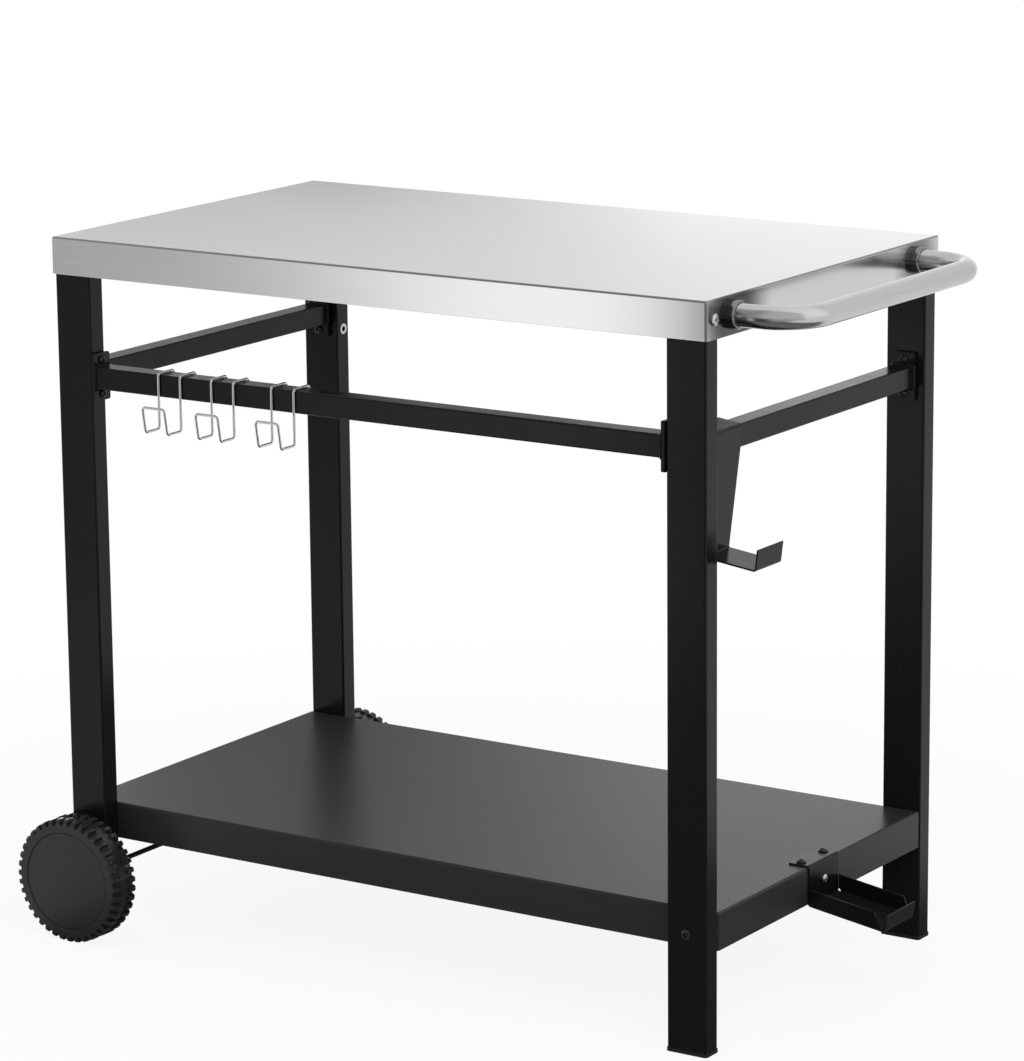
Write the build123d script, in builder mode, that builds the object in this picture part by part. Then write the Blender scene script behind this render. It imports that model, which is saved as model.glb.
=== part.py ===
from build123d import *
import os
from math import cos, radians, sin, tan

# A pizza oven table on four tube legs, two of them on wheels.
# Millimetres: +X to the push handle, -Y to the front, +Z up, standing on Z = 0.

# Overall sizes
top_length = 851.0
top_depth = 500.0
table_height = 808.0
wheel_diameter = 145.0

# Sheet pans: the top and the lower shelf
top_sheet = 1.5
top_skirt = 42.0
top_bend = 2.5
top_return = 10.0
shelf_sheet = 1.5
shelf_skirt = 42.0
shelf_bend = 2.5
shelf_return = 10.0
shelf_top = 153.0
return_clearance = 2.0

# Hat channel under the top
hat_length = 640.0
hat_width = 60.0
hat_depth = 18.0
hat_flange = 16.0
hat_sheet = 1.5
hat_bend = 3.0

# Legs, feet and end plugs
leg_width = 48.0
leg_depth = 24.0
leg_wall = 1.5
leg_corner = 2.5
left_leg_lift = 48.0
foot_height = 4.0
foot_overhang = 1.0
plug_depth = 16.0
plug_clearance = 0.2

# Rails with welded end plates
rail_height = 652.0
rail_size = 25.0
rail_wall = 1.5
rail_corner = 2.0
plate_width = 28.0
plate_height = 54.0
plate_thickness = 4.0
plate_corner = 2.0
plate_hole_spacing = 38.0

# Fasteners
screw_diameter = 6.0
screw_hole = 6.6
thread_clearance = 0.05
head_crown = 0.6
head_rim = 0.4
rail_head_diameter = 10.0
rail_head_height = 3.5
rail_screw_length = 15.0
top_head_diameter = 13.0
top_head_height = 3.5
top_screw_length = 13.0
shelf_head_diameter = 11.5
shelf_head_height = 3.0
nut_across_flats = 10.0
nut_height = 5.0
nut_stick_out = 1.5
rivet_flange_diameter = 13.0
rivet_flange = 1.0
rivet_body_diameter = 9.0
rivet_body_length = 12.0
rivet_clearance = 0.1
tap_screw_diameter = 3.8
tap_screw_clearance = 0.05
tap_screw_hole = 5.2
tap_screw_length = 9.0
tap_head_diameter = 9.5
tap_head_height = 3.0

# Push handle
handle_diameter = 25.0
handle_wall = 1.5
handle_reach = 80.0
handle_bend = 50.0
handle_screw_gap = 15.5
handle_plug_length = 14.0
handle_bolt_length = 12.0
collar_diameter = 31.0
collar_length = 9.0
collar_floor = 1.5
collar_round = 2.0
collar_clearance = 0.1

# Axle and wheels
axle_diameter = 6.0
axle_hole_clearance = 0.1
wheel_bore_clearance = 0.05
washer_diameter = 18.0
washer_thickness = 1.5
wheel_side_clearance = 0.3
wheel_gap = 6.5
wheel_width = 38.0
wheel_edge = 1.5
lug_count = 40
lug_height = 3.0
lug_slot = 4.6
lug_face_depth = 6.5
shoulder_width = 13.0
rim_inner_diameter = 126.0
cap_seat_diameter = 114.0
cap_ledge_diameter = 106.0
cap_thickness = 2.5
cap_clearance = 0.3
cap_edge = 0.6
web_thickness = 3.0
nut_pocket_depth = 7.0
hub_diameter = 22.0
rib_count = 8
rib_thickness = 2.5
rib_recess = 8.0

# Wire hooks on the front rail, placed from the middle of the top
hook_wire = 3.0
hook_bend = 4.0
hook_spacing = 30.0
hook_tail = 22.0
hook_drop = 62.0
hook_reach = 25.0
hook_rise = 29.0
hook_lean = 5.0
hook_clearance = 0.3
hook_places = {"left_hook": -264.5, "middle_hook": -191.5, "right_hook": -110.0}

# Tank hook on the right rail
tank_hook_sheet = 2.0
tank_hook_width = 52.0
tank_hook_tilt = 7.2
tank_hook_return = 18.0
tank_hook_strap = 133.0
tank_hook_floor = 63.0
tank_hook_lip = 23.0
tank_hook_bend = 2.5
tank_hook_clearance = 0.3
tank_hook_end_gap = 0.6

# Tank tray on the shelf's right edge
tray_sheet = 2.0
tray_width = 65.0
tray_flange = 24.0
tray_drop = 43.0
tray_tilt = 8.6
tray_reach = 93.0
tray_lip = 18.0
tray_wall = 19.0
tray_wall_gap = 0.5
tray_corner_notch = 5.0
tray_wall_relief = 4.0
tray_corner_relief = 14.0
tray_bend = 2.5
tray_screw_spacing = 48.0
tray_screw_inset = 13.0
tray_head_diameter = 11.0
tray_head_height = 3.0
tray_tap_screw_drop = 20.0

# Places that follow from the sizes above
leg_inset = top_sheet + rivet_flange
leg_center_x = top_length / 2 - leg_inset - leg_width / 2
leg_center_y = top_depth / 2 - leg_inset - leg_depth / 2
leg_inner_x = leg_center_x - leg_width / 2
leg_outer_x = leg_center_x + leg_width / 2
leg_inner_y = leg_center_y - leg_depth / 2
leg_outer_y = leg_center_y + leg_depth / 2
leg_top = table_height - top_sheet
handle_half = leg_center_y - top_head_diameter / 2 - handle_screw_gap - collar_diameter / 2
tray_run = tray_reach + tray_sheet / 2
tray_tip = (
    leg_outer_x
    + tray_sheet / 2
    + (tray_run + tray_sheet / 2) * cos(radians(tray_tilt))
    + tray_lip * sin(radians(tray_tilt))
)
handle_tip = top_length / 2 + handle_reach + handle_diameter / 2
wheel_tip = leg_center_x + wheel_diameter / 2
top_x = (wheel_tip - max(handle_tip, tray_tip)) / 2
skirt_middle = table_height - top_skirt / 2
shelf_bolt_height = shelf_top - shelf_skirt / 2
axle_height = wheel_diameter / 2
left_x = top_x - leg_center_x
right_x = top_x + leg_center_x
shelf_edge_x = top_x + leg_outer_x
end_plate_seat = rivet_flange + plate_thickness
nut_hole = rivet_body_diameter + 2 * rivet_clearance

corners = {
    "front_left": (-1, -1),
    "front_right": (1, -1),
    "back_left": (-1, 1),
    "back_right": (1, 1),
}

os.makedirs("parts", exist_ok=True)


def save(builder, name):
    builder.part.label = name
    export_step(builder.part, f"parts/{name}.step")


def facing(x, y, z, normal):
    return Plane(origin=(x, y, z), z_dir=normal)


def half_section(seat):
    # The plane of a turned profile: its x is the radius and its y stands out of the seat.
    return Plane(origin=seat.origin, x_dir=seat.x_dir, z_dir=-seat.y_dir)


def add_turned(seat, outline):
    with BuildSketch(half_section(seat)) as section:
        with BuildLine():
            Polyline(*outline, close=True)
        make_face()
    revolve(section.sketch, axis=Axis(seat.origin, seat.z_dir))


def add_screw(seat, head_diameter, head_height, length, shank_diameter=screw_diameter):
    # Low head on the seat, sloped from crown to rim, and a plain shank behind it.
    head = head_diameter / 2
    shank = shank_diameter / 2
    add_turned(
        seat,
        [
            (0, head_height),
            (head_crown * head, head_height),
            (head, head_rim * head_height),
            (head, 0),
            (shank, 0),
            (shank, -length),
            (0, -length),
        ],
    )


def add_rivet_nut(seat):
    bore = screw_diameter / 2 + thread_clearance
    flange = rivet_flange_diameter / 2
    body = rivet_body_diameter / 2
    add_turned(
        seat,
        [
            (bore, rivet_flange),
            (flange, rivet_flange),
            (flange, 0),
            (body, 0),
            (body, -rivet_body_length),
            (bore, -rivet_body_length),
        ],
    )


def add_hex_nut(seat, bore_diameter):
    with BuildSketch(seat) as section:
        RegularPolygon(nut_across_flats / 2, 6, major_radius=False)
        Circle(bore_diameter / 2, mode=Mode.SUBTRACT)
    extrude(section.sketch, amount=nut_height)


def cut_round(seat, diameter, depth):
    with BuildSketch(seat) as section:
        Circle(diameter / 2)
    extrude(section.sketch, amount=-depth, mode=Mode.SUBTRACT)


def add_pan(length, depth, height, skirt, sheet, bend):
    # Inverted sheet pan with its skirt down, its top face at the given height.
    lower_edge = Plane.XY.offset(height - skirt)
    with BuildSketch(lower_edge) as outside:
        with Locations((top_x, 0)):
            RectangleRounded(length, depth, bend)
    extrude(outside.sketch, amount=skirt)
    fillet(edges().group_by(Axis.Z)[-1], bend)
    with BuildSketch(lower_edge) as inside:
        with Locations((top_x, 0)):
            RectangleRounded(length - 2 * sheet, depth - 2 * sheet, bend - sheet)
    extrude(inside.sketch, amount=skirt - sheet, mode=Mode.SUBTRACT)


def rail_nut_seats(side_x, side_y):
    # Two screw places above each other on the leg's inner side face and on its inner end face.
    x = top_x + side_x * leg_center_x
    y = side_y * leg_center_y
    side_face = top_x + side_x * leg_inner_x
    end_face = side_y * leg_inner_y
    seats = []
    for level in (-plate_hole_spacing / 2, plate_hole_spacing / 2):
        seats.append(facing(side_face, y, rail_height + level, (-side_x, 0, 0)))
        seats.append(facing(x, end_face, rail_height + level, (0, -side_y, 0)))
    return seats


def top_nut_seat(side_x, side_y):
    return facing(
        top_x + side_x * leg_outer_x, side_y * leg_center_y, skirt_middle, (side_x, 0, 0)
    )


def top_screw_seat(side_x, side_y):
    return facing(
        top_x + side_x * top_length / 2, side_y * leg_center_y, skirt_middle, (side_x, 0, 0)
    )


def shelf_bolt_seat(side_x, side_y):
    return facing(
        top_x + side_x * leg_center_x, side_y * leg_outer_y, shelf_bolt_height, (0, side_y, 0)
    )


def shelf_nut_seat(side_x, side_y):
    skirt_face = side_y * (leg_inner_y - rivet_flange)
    return facing(
        top_x + side_x * leg_center_x, skirt_face, shelf_bolt_height, (0, side_y, 0)
    )


def handle_bolt_seat(side_y):
    inner_face = top_x + top_length / 2 - top_sheet
    return facing(inner_face, side_y * handle_half, skirt_middle, (-1, 0, 0))


# Table top: the pan, its inward return between the legs, and its holes
with BuildPart() as table_top:
    add_pan(top_length, top_depth, table_height, top_skirt, top_sheet, top_bend)
    with BuildSketch(Plane.XY.offset(table_height - top_skirt)):
        long_return = 2 * (leg_inner_x - return_clearance)
        short_return = 2 * (leg_inner_y - return_clearance)
        long_y = top_depth / 2 - top_sheet - top_return / 2
        short_x = top_length / 2 - top_sheet - top_return / 2
        with Locations((top_x, -long_y), (top_x, long_y)):
            Rectangle(long_return, top_return)
        with Locations((top_x - short_x, 0), (top_x + short_x, 0)):
            Rectangle(top_return, short_return)
    extrude(amount=top_sheet)
    for side_x, side_y in corners.values():
        cut_round(top_screw_seat(side_x, side_y), screw_hole, 2 * top_sheet)
    for side_y in (-1, 1):
        cut_round(handle_bolt_seat(side_y), screw_hole, 2 * top_sheet)
save(table_top, "table_top")

# Hat channel that stiffens the top
with BuildPart() as top_stiffener:
    flange_level = leg_top - hat_sheet / 2
    crown_level = flange_level - hat_depth
    with BuildSketch(Plane.YZ.offset(top_x - hat_length / 2)):
        with BuildLine():
            FilletPolyline(
                (-hat_width / 2 - hat_flange, flange_level),
                (-hat_width / 2, flange_level),
                (-hat_width / 2, crown_level),
                (hat_width / 2, crown_level),
                (hat_width / 2, flange_level),
                (hat_width / 2 + hat_flange, flange_level),
                radius=hat_bend,
            )
        trace(line_width=hat_sheet)
    extrude(amount=hat_length)
save(top_stiffener, "top_stiffener")

# Tube legs: the left pair stops above the floor and takes the axle
for corner, (side_x, side_y) in corners.items():
    lift = left_leg_lift if side_x < 0 else 0.0
    leg_bottom = lift + foot_height
    center = (top_x + side_x * leg_center_x, side_y * leg_center_y)
    with BuildPart() as leg:
        with BuildSketch(Plane.XY.offset(leg_bottom)):
            with Locations(center):
                RectangleRounded(leg_width, leg_depth, leg_corner)
                RectangleRounded(
                    leg_width - 2 * leg_wall,
                    leg_depth - 2 * leg_wall,
                    leg_corner - leg_wall,
                    mode=Mode.SUBTRACT,
                )
        extrude(amount=leg_top - leg_bottom)
        for seat in rail_nut_seats(side_x, side_y):
            cut_round(seat, nut_hole, 2 * leg_wall)
        cut_round(top_nut_seat(side_x, side_y), nut_hole, 2 * leg_wall)
        cut_round(shelf_bolt_seat(side_x, side_y), screw_hole, leg_depth)
        if side_x < 0:
            axle_seat = facing(center[0], side_y * leg_outer_y, axle_height, (0, side_y, 0))
            cut_round(axle_seat, axle_diameter + 2 * axle_hole_clearance, leg_depth)
    save(leg, f"{corner}_leg")

    with BuildPart() as rivet_nuts:
        for seat in rail_nut_seats(side_x, side_y):
            add_rivet_nut(seat)
        add_rivet_nut(top_nut_seat(side_x, side_y))
    save(rivet_nuts, f"{corner}_rivet_nuts")

    # Moulded foot or end plug: a pad under the tube and a plug inside it
    with BuildPart() as foot:
        with BuildSketch(Plane.XY.offset(lift)):
            with Locations(center):
                RectangleRounded(
                    leg_width + 2 * foot_overhang,
                    leg_depth + 2 * foot_overhang,
                    leg_corner + foot_overhang,
                )
        extrude(amount=foot_height)
        with BuildSketch(Plane.XY.offset(leg_bottom)):
            with Locations(center):
                RectangleRounded(
                    leg_width - 2 * leg_wall - 2 * plug_clearance,
                    leg_depth - 2 * leg_wall - 2 * plug_clearance,
                    leg_corner - leg_wall,
                )
        extrude(amount=plug_depth)
    save(foot, f"{corner}_plug" if side_x < 0 else f"{corner}_foot")

# Lower shelf: a pan between the front and back legs, held off them by its rivet nuts' flanges
shelf_length = 2 * leg_outer_x
shelf_depth = 2 * (leg_inner_y - rivet_flange)
shelf_lower = shelf_top - shelf_skirt
tray_screw_x = shelf_edge_x - tray_screw_inset
tray_tap_seat = facing(shelf_edge_x + tray_sheet, 0, shelf_top - tray_tap_screw_drop, (1, 0, 0))
tray_flange_screws = [
    facing(tray_screw_x, side_y * tray_screw_spacing / 2, shelf_top + tray_sheet, (0, 0, 1))
    for side_y in (-1, 1)
]
with BuildPart() as lower_shelf:
    add_pan(shelf_length, shelf_depth, shelf_top, shelf_skirt, shelf_sheet, shelf_bend)
    with BuildSketch(Plane.XY.offset(shelf_lower)):
        with Locations((top_x, 0)):
            Rectangle(shelf_length - 2 * shelf_sheet, shelf_depth - 2 * shelf_sheet)
            Rectangle(
                shelf_length - 2 * shelf_sheet - 2 * shelf_return,
                shelf_depth - 2 * shelf_sheet - 2 * shelf_return,
                mode=Mode.SUBTRACT,
            )
    extrude(amount=shelf_sheet)
    for side_x, side_y in corners.values():
        cut_round(shelf_nut_seat(side_x, side_y), nut_hole, 2 * shelf_sheet)
    for seat in tray_flange_screws:
        cut_round(seat, screw_hole, tray_sheet + 2 * shelf_sheet)
    pilot_hole = tap_screw_diameter + 2 * tap_screw_clearance
    cut_round(tray_tap_seat, pilot_hole, tray_sheet + 2 * shelf_sheet)
save(lower_shelf, "lower_shelf")

# Rails: square tube with an end plate welded on each end, seated on the rivet nut flanges
front_middle = Plane(origin=(top_x, -leg_center_y, rail_height), x_dir=(0, 1, 0), z_dir=(1, 0, 0))
left_middle = Plane(origin=(left_x, 0, rail_height), x_dir=(1, 0, 0), z_dir=(0, 1, 0))
right_middle = Plane(origin=(right_x, 0, rail_height), x_dir=(1, 0, 0), z_dir=(0, 1, 0))
rails = {
    "front_rail": (front_middle, leg_inner_x - rivet_flange),
    "left_rail": (left_middle, leg_inner_y - rivet_flange),
    "right_rail": (right_middle, leg_inner_y - rivet_flange),
}
screw_places = [(0, -plate_hole_spacing / 2), (0, plate_hole_spacing / 2)]
for name, (middle, half_length) in rails.items():
    with BuildPart() as rail:
        with BuildSketch(middle):
            RectangleRounded(rail_size, rail_size, rail_corner)
            RectangleRounded(
                rail_size - 2 * rail_wall,
                rail_size - 2 * rail_wall,
                rail_corner - rail_wall,
                mode=Mode.SUBTRACT,
            )
        extrude(amount=half_length - plate_thickness, both=True)
        for level in (half_length - plate_thickness, -half_length):
            with BuildSketch(middle.offset(level)):
                RectangleRounded(plate_width, plate_height, plate_corner)
                with Locations(*screw_places):
                    Circle(screw_hole / 2, mode=Mode.SUBTRACT)
            extrude(amount=plate_thickness)
    save(rail, name)

    with BuildPart() as rail_screws:
        for direction in (-1, 1):
            plate_face = middle.offset(direction * (half_length - plate_thickness)).origin
            for level in (-plate_hole_spacing / 2, plate_hole_spacing / 2):
                seat = Plane(origin=plate_face + (0, 0, level), z_dir=middle.z_dir * -direction)
                add_screw(seat, rail_head_diameter, rail_head_height, rail_screw_length)
    save(rail_screws, f"{name}_screws")

# Screws that hold the top to the legs
with BuildPart() as top_screws:
    for side_x, side_y in corners.values():
        seat = top_screw_seat(side_x, side_y)
        add_screw(seat, top_head_diameter, top_head_height, top_screw_length)
save(top_screws, "top_screws")

# Bolts through the legs into the shelf's rivet nuts
shelf_bolt_length = leg_depth + rivet_flange + rivet_body_length
with BuildPart() as shelf_bolts:
    for side_x, side_y in corners.values():
        seat = shelf_bolt_seat(side_x, side_y)
        add_screw(seat, shelf_head_diameter, shelf_head_height, shelf_bolt_length)
save(shelf_bolts, "shelf_bolts")

with BuildPart() as shelf_nuts:
    for side_x, side_y in corners.values():
        add_rivet_nut(shelf_nut_seat(side_x, side_y))
save(shelf_nuts, "shelf_nuts")

# Push handle: bent tube with a threaded plug in each end, seated on the floors of its cup collars
skirt_face = top_x + top_length / 2
handle_end = skirt_face + collar_floor
handle_bar = skirt_face + handle_reach
with BuildPart() as handle:
    with BuildLine(Plane.XY.offset(skirt_middle)) as handle_path:
        FilletPolyline(
            (handle_end, -handle_half),
            (handle_bar, -handle_half),
            (handle_bar, handle_half),
            (handle_end, handle_half),
            radius=handle_bend,
        )
    with BuildSketch(facing(handle_end, -handle_half, skirt_middle, (1, 0, 0))):
        Circle(handle_diameter / 2)
        Circle(handle_diameter / 2 - handle_wall, mode=Mode.SUBTRACT)
    sweep(path=handle_path.wire())
    for side_y in (-1, 1):
        with BuildSketch(facing(handle_end, side_y * handle_half, skirt_middle, (1, 0, 0))):
            Circle(handle_diameter / 2 - handle_wall)
            Circle(screw_diameter / 2 + thread_clearance, mode=Mode.SUBTRACT)
        extrude(amount=handle_plug_length)
save(handle, "handle")

for side, side_y in (("front", -1), ("back", 1)):
    collar_seat = facing(skirt_face, side_y * handle_half, skirt_middle, (1, 0, 0))
    with BuildPart() as collar:
        with BuildSketch(collar_seat):
            Circle(collar_diameter / 2)
        extrude(amount=collar_length)
        fillet(edges().group_by(Axis.X)[-1], collar_round)
        with BuildSketch(collar_seat.offset(collar_floor)):
            Circle(handle_diameter / 2 + collar_clearance)
        extrude(amount=collar_length - collar_floor, mode=Mode.SUBTRACT)
        cut_round(collar_seat.offset(collar_floor), screw_hole, collar_floor)
    save(collar, f"{side}_handle_collar")

with BuildPart() as handle_bolts:
    for side_y in (-1, 1):
        seat = handle_bolt_seat(side_y)
        bolt_length = top_sheet + collar_floor + handle_bolt_length
        add_screw(seat, top_head_diameter, top_head_height, bolt_length)
save(handle_bolts, "handle_bolts")

# Axle rod through the left legs, with its washers and lock nuts
wheel_inner_y = leg_outer_y + wheel_gap
wheel_outer_y = wheel_inner_y + wheel_width
web_outer = wheel_width - cap_thickness - nut_pocket_depth
web_inner = web_outer - web_thickness
nut_seat_y = wheel_inner_y + web_outer + wheel_side_clearance
axle_half = nut_seat_y + nut_height + nut_stick_out / 2
with BuildPart() as axle:
    with BuildSketch(facing(left_x, 0, axle_height, (0, 1, 0))):
        Circle(axle_diameter / 2)
    extrude(amount=axle_half, both=True)
save(axle, "axle")

with BuildPart() as axle_washers:
    for side_y in (-1, 1):
        with BuildSketch(facing(left_x, side_y * leg_outer_y, axle_height, (0, side_y, 0))):
            Circle(washer_diameter / 2)
            Circle(axle_diameter / 2 + axle_hole_clearance, mode=Mode.SUBTRACT)
        extrude(amount=washer_thickness)
save(axle_washers, "axle_washers")

with BuildPart() as axle_nuts:
    for side_y in (-1, 1):
        seat = facing(left_x, side_y * nut_seat_y, axle_height, (0, side_y, 0))
        add_hex_nut(seat, axle_diameter + 2 * thread_clearance)
save(axle_nuts, "axle_nuts")

# Wheels: one moulding with rim, web, hub and ribs, notched into lugs on both shoulders
wheel_radius = wheel_diameter / 2
tread_radius = wheel_radius - lug_height
bore_radius = axle_diameter / 2 + wheel_bore_clearance
hub_radius = hub_diameter / 2
rim_radius = rim_inner_diameter / 2
hub_overhang = wheel_gap - washer_thickness - wheel_side_clearance
wheel_outline = [
    (bore_radius, -hub_overhang),
    (hub_radius, -hub_overhang),
    (hub_radius, web_inner),
    (rim_radius, web_inner),
    (rim_radius, 0),
    (wheel_radius - wheel_edge, 0),
    (wheel_radius, wheel_edge),
    (wheel_radius, shoulder_width),
    (tread_radius, shoulder_width),
    (tread_radius, wheel_width - shoulder_width),
    (wheel_radius, wheel_width - shoulder_width),
    (wheel_radius, wheel_width - wheel_edge),
    (wheel_radius - wheel_edge, wheel_width),
    (cap_seat_diameter / 2, wheel_width),
    (cap_seat_diameter / 2, wheel_width - cap_thickness),
    (cap_ledge_diameter / 2, wheel_width - cap_thickness),
    (cap_ledge_diameter / 2, web_outer),
    (bore_radius, web_outer),
]
half_pitch = 180.0 / lug_count

# One slot between two lugs: level with the tread at the groove, deeper where it opens on the wheel's face
slot_outline = [
    (tread_radius, 0),
    (wheel_radius - lug_face_depth, shoulder_width),
    (wheel_radius + lug_height, shoulder_width),
    (wheel_radius + lug_height, 0),
]
with BuildPart() as slot_cutter:
    with BuildSketch(Plane.XZ):
        with BuildLine():
            Polyline(*slot_outline, close=True)
        make_face()
    extrude(amount=lug_slot / 2, both=True)

for side, side_y in (("front", -1), ("back", 1)):
    wheel_seat = Plane(
        origin=(left_x, side_y * wheel_inner_y, axle_height), x_dir=(0, 0, 1), z_dir=(0, side_y, 0)
    )
    with BuildPart() as wheel:
        add_turned(wheel_seat, wheel_outline)
        with BuildSketch(wheel_seat.offset(rib_recess)):
            with PolarLocations((hub_radius + rim_radius) / 2, rib_count):
                Rectangle(rim_radius - hub_radius + rib_thickness, rib_thickness)
        extrude(amount=web_inner - rib_recess)
        outer_row = wheel_seat.offset(wheel_width - shoulder_width)
        inner_row = Plane(
            origin=wheel_seat.offset(shoulder_width).origin,
            x_dir=wheel_seat.x_dir,
            z_dir=-wheel_seat.z_dir,
        )
        for row, turn in ((inner_row, 0), (outer_row, half_pitch)):
            with Locations(row):
                with PolarLocations(0, lug_count, start_angle=turn):
                    add(slot_cutter.part, mode=Mode.SUBTRACT)
    save(wheel, f"{side}_wheel")

    with BuildPart() as cap:
        with BuildSketch(wheel_seat.offset(wheel_width - cap_thickness)):
            Circle(cap_seat_diameter / 2 - cap_clearance)
        extrude(amount=cap_thickness)
        chamfer(edges().sort_by(Axis(wheel_seat.origin, wheel_seat.z_dir))[-1], cap_edge)
    save(cap, f"{side}_wheel_cap")

# Double wire hooks: one wire from tail to tail, over the front rail twice
wire_radius = hook_wire / 2
wire_stand_off = hook_clearance + wire_radius
rail_top = rail_height + rail_size / 2
wire_back_y = -leg_center_y + rail_size / 2 + wire_stand_off
wire_front_y = -leg_center_y - rail_size / 2 - wire_stand_off
wire_top = rail_top + wire_stand_off
wire_low = wire_top - hook_drop
side_profile = [
    (wire_back_y, wire_top - hook_tail),
    (wire_back_y, wire_top),
    (wire_front_y, wire_top),
    (wire_front_y, wire_low),
    (wire_front_y - hook_reach, wire_low),
    (wire_front_y - hook_reach - hook_lean, wire_low + hook_rise),
]
for name, place in hook_places.items():
    near_x = top_x + place - hook_spacing / 2
    far_x = top_x + place + hook_spacing / 2
    near_wire = [(near_x, y, z) for y, z in side_profile]
    far_wire = [(far_x, y, z) for y, z in reversed(side_profile)]
    with BuildPart() as hook:
        with BuildLine() as wire_path:
            FilletPolyline(*near_wire, *far_wire, radius=hook_bend)
        with BuildSketch(facing(*near_wire[0], (0, 0, 1))):
            Circle(wire_radius)
        sweep(path=wire_path.wire())
    save(hook, name)

# Tank hook: one strip hung over the right rail, tipped until its strap rests on the rail's lower edge
tilt = radians(tank_hook_tilt)
rail_outer_x = right_x + rail_size / 2
strap_offset = (rail_size * tan(tilt)) + tank_hook_clearance / cos(tilt)
inner_corner_x = rail_outer_x + strap_offset
inner_corner_z = rail_top + tank_hook_clearance / cos(tilt) - strap_offset * tan(tilt)
flap_run = (inner_corner_x - rail_outer_x + rail_size) / cos(tilt) + tank_hook_clearance
hook_front_y = -leg_inner_y + end_plate_seat + rail_head_height + tank_hook_end_gap
tank_hook_plane = Plane(
    origin=(inner_corner_x, hook_front_y + tank_hook_width, inner_corner_z),
    x_dir=(cos(tilt), 0, -sin(tilt)),
    z_dir=(0, -1, 0),
)
half_sheet = tank_hook_sheet / 2
with BuildPart() as tank_hook:
    with BuildSketch(tank_hook_plane):
        with BuildLine():
            FilletPolyline(
                (-flap_run - half_sheet, -tank_hook_return),
                (-flap_run - half_sheet, half_sheet),
                (half_sheet, half_sheet),
                (half_sheet, -tank_hook_strap),
                (half_sheet + tank_hook_floor, -tank_hook_strap),
                (half_sheet + tank_hook_floor, tank_hook_lip - tank_hook_strap),
                radius=tank_hook_bend,
            )
        trace(line_width=tank_hook_sheet)
    extrude(amount=tank_hook_width)
save(tank_hook, "tank_hook")

# Tank tray: flange on the shelf, plate down its skirt, tilted channel arm with an end lip
arm_tilt = radians(tray_tilt)
arm_x = shelf_edge_x + tray_sheet / 2
arm_z = shelf_top - tray_drop
floor_end = (arm_x + tray_run * cos(arm_tilt), arm_z - tray_run * sin(arm_tilt))
lip_end = (floor_end[0] + tray_lip * sin(arm_tilt), floor_end[1] + tray_lip * cos(arm_tilt))
arm_plane = Plane(
    origin=(arm_x, 0, arm_z), x_dir=(cos(arm_tilt), 0, -sin(arm_tilt)), z_dir=(0, -1, 0)
)


def wall_end(rise):
    # Where a wall of the arm ends beside the upright plate, at a height above the arm's floor.
    return (tray_sheet / 2 + tray_wall_gap - rise * sin(arm_tilt)) / cos(arm_tilt)


with BuildPart() as tank_tray:
    with BuildSketch(Plane.XZ):
        with BuildLine():
            FilletPolyline(
                (shelf_edge_x - tray_flange, shelf_top + tray_sheet / 2),
                (arm_x, shelf_top + tray_sheet / 2),
                (arm_x, arm_z),
                floor_end,
                lip_end,
                radius=tray_bend,
            )
        trace(line_width=tray_sheet)
    extrude(amount=tray_width / 2, both=True)
    for start in (tray_width / 2, -tray_width / 2 - tray_sheet):
        with BuildSketch(arm_plane.offset(start)):
            with BuildLine():
                Polyline(
                    (wall_end(0) + tray_corner_notch, -tray_sheet / 2),
                    (tray_run - tray_wall_relief, -tray_sheet / 2),
                    (tray_run - tray_corner_relief, tray_wall),
                    (wall_end(tray_wall), tray_wall),
                    (wall_end(tray_corner_notch), tray_corner_notch),
                    close=True,
                )
            make_face()
        extrude(amount=tray_sheet)
    for seat in tray_flange_screws:
        cut_round(seat, screw_hole, 2 * tray_sheet)
    cut_round(tray_tap_seat, tap_screw_hole, 2 * tray_sheet)
save(tank_tray, "tank_tray")

tray_grip = tray_sheet + shelf_sheet
tray_bolt_length = tray_grip + nut_height + nut_stick_out
with BuildPart() as tray_screws:
    for seat in tray_flange_screws:
        add_screw(seat, tray_head_diameter, tray_head_height, tray_bolt_length)
save(tray_screws, "tray_screws")

# Tapping screw from the tray's plate into the shelf's skirt
with BuildPart() as tray_tap_screw:
    add_screw(
        tray_tap_seat, tap_head_diameter, tap_head_height, tap_screw_length, tap_screw_diameter
    )
save(tray_tap_screw, "tray_tap_screw")

with BuildPart() as tray_nuts:
    for seat in tray_flange_screws:
        inner_face = seat.offset(-tray_grip)
        inward = Plane(origin=inner_face.origin, z_dir=-inner_face.z_dir)
        add_hex_nut(inward, screw_diameter + 2 * thread_clearance)
save(tray_nuts, "tray_nuts")
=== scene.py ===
import bpy
import numpy as np
from math import cos, pi, radians, sin, tan
from mathutils import Matrix, Vector


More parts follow.
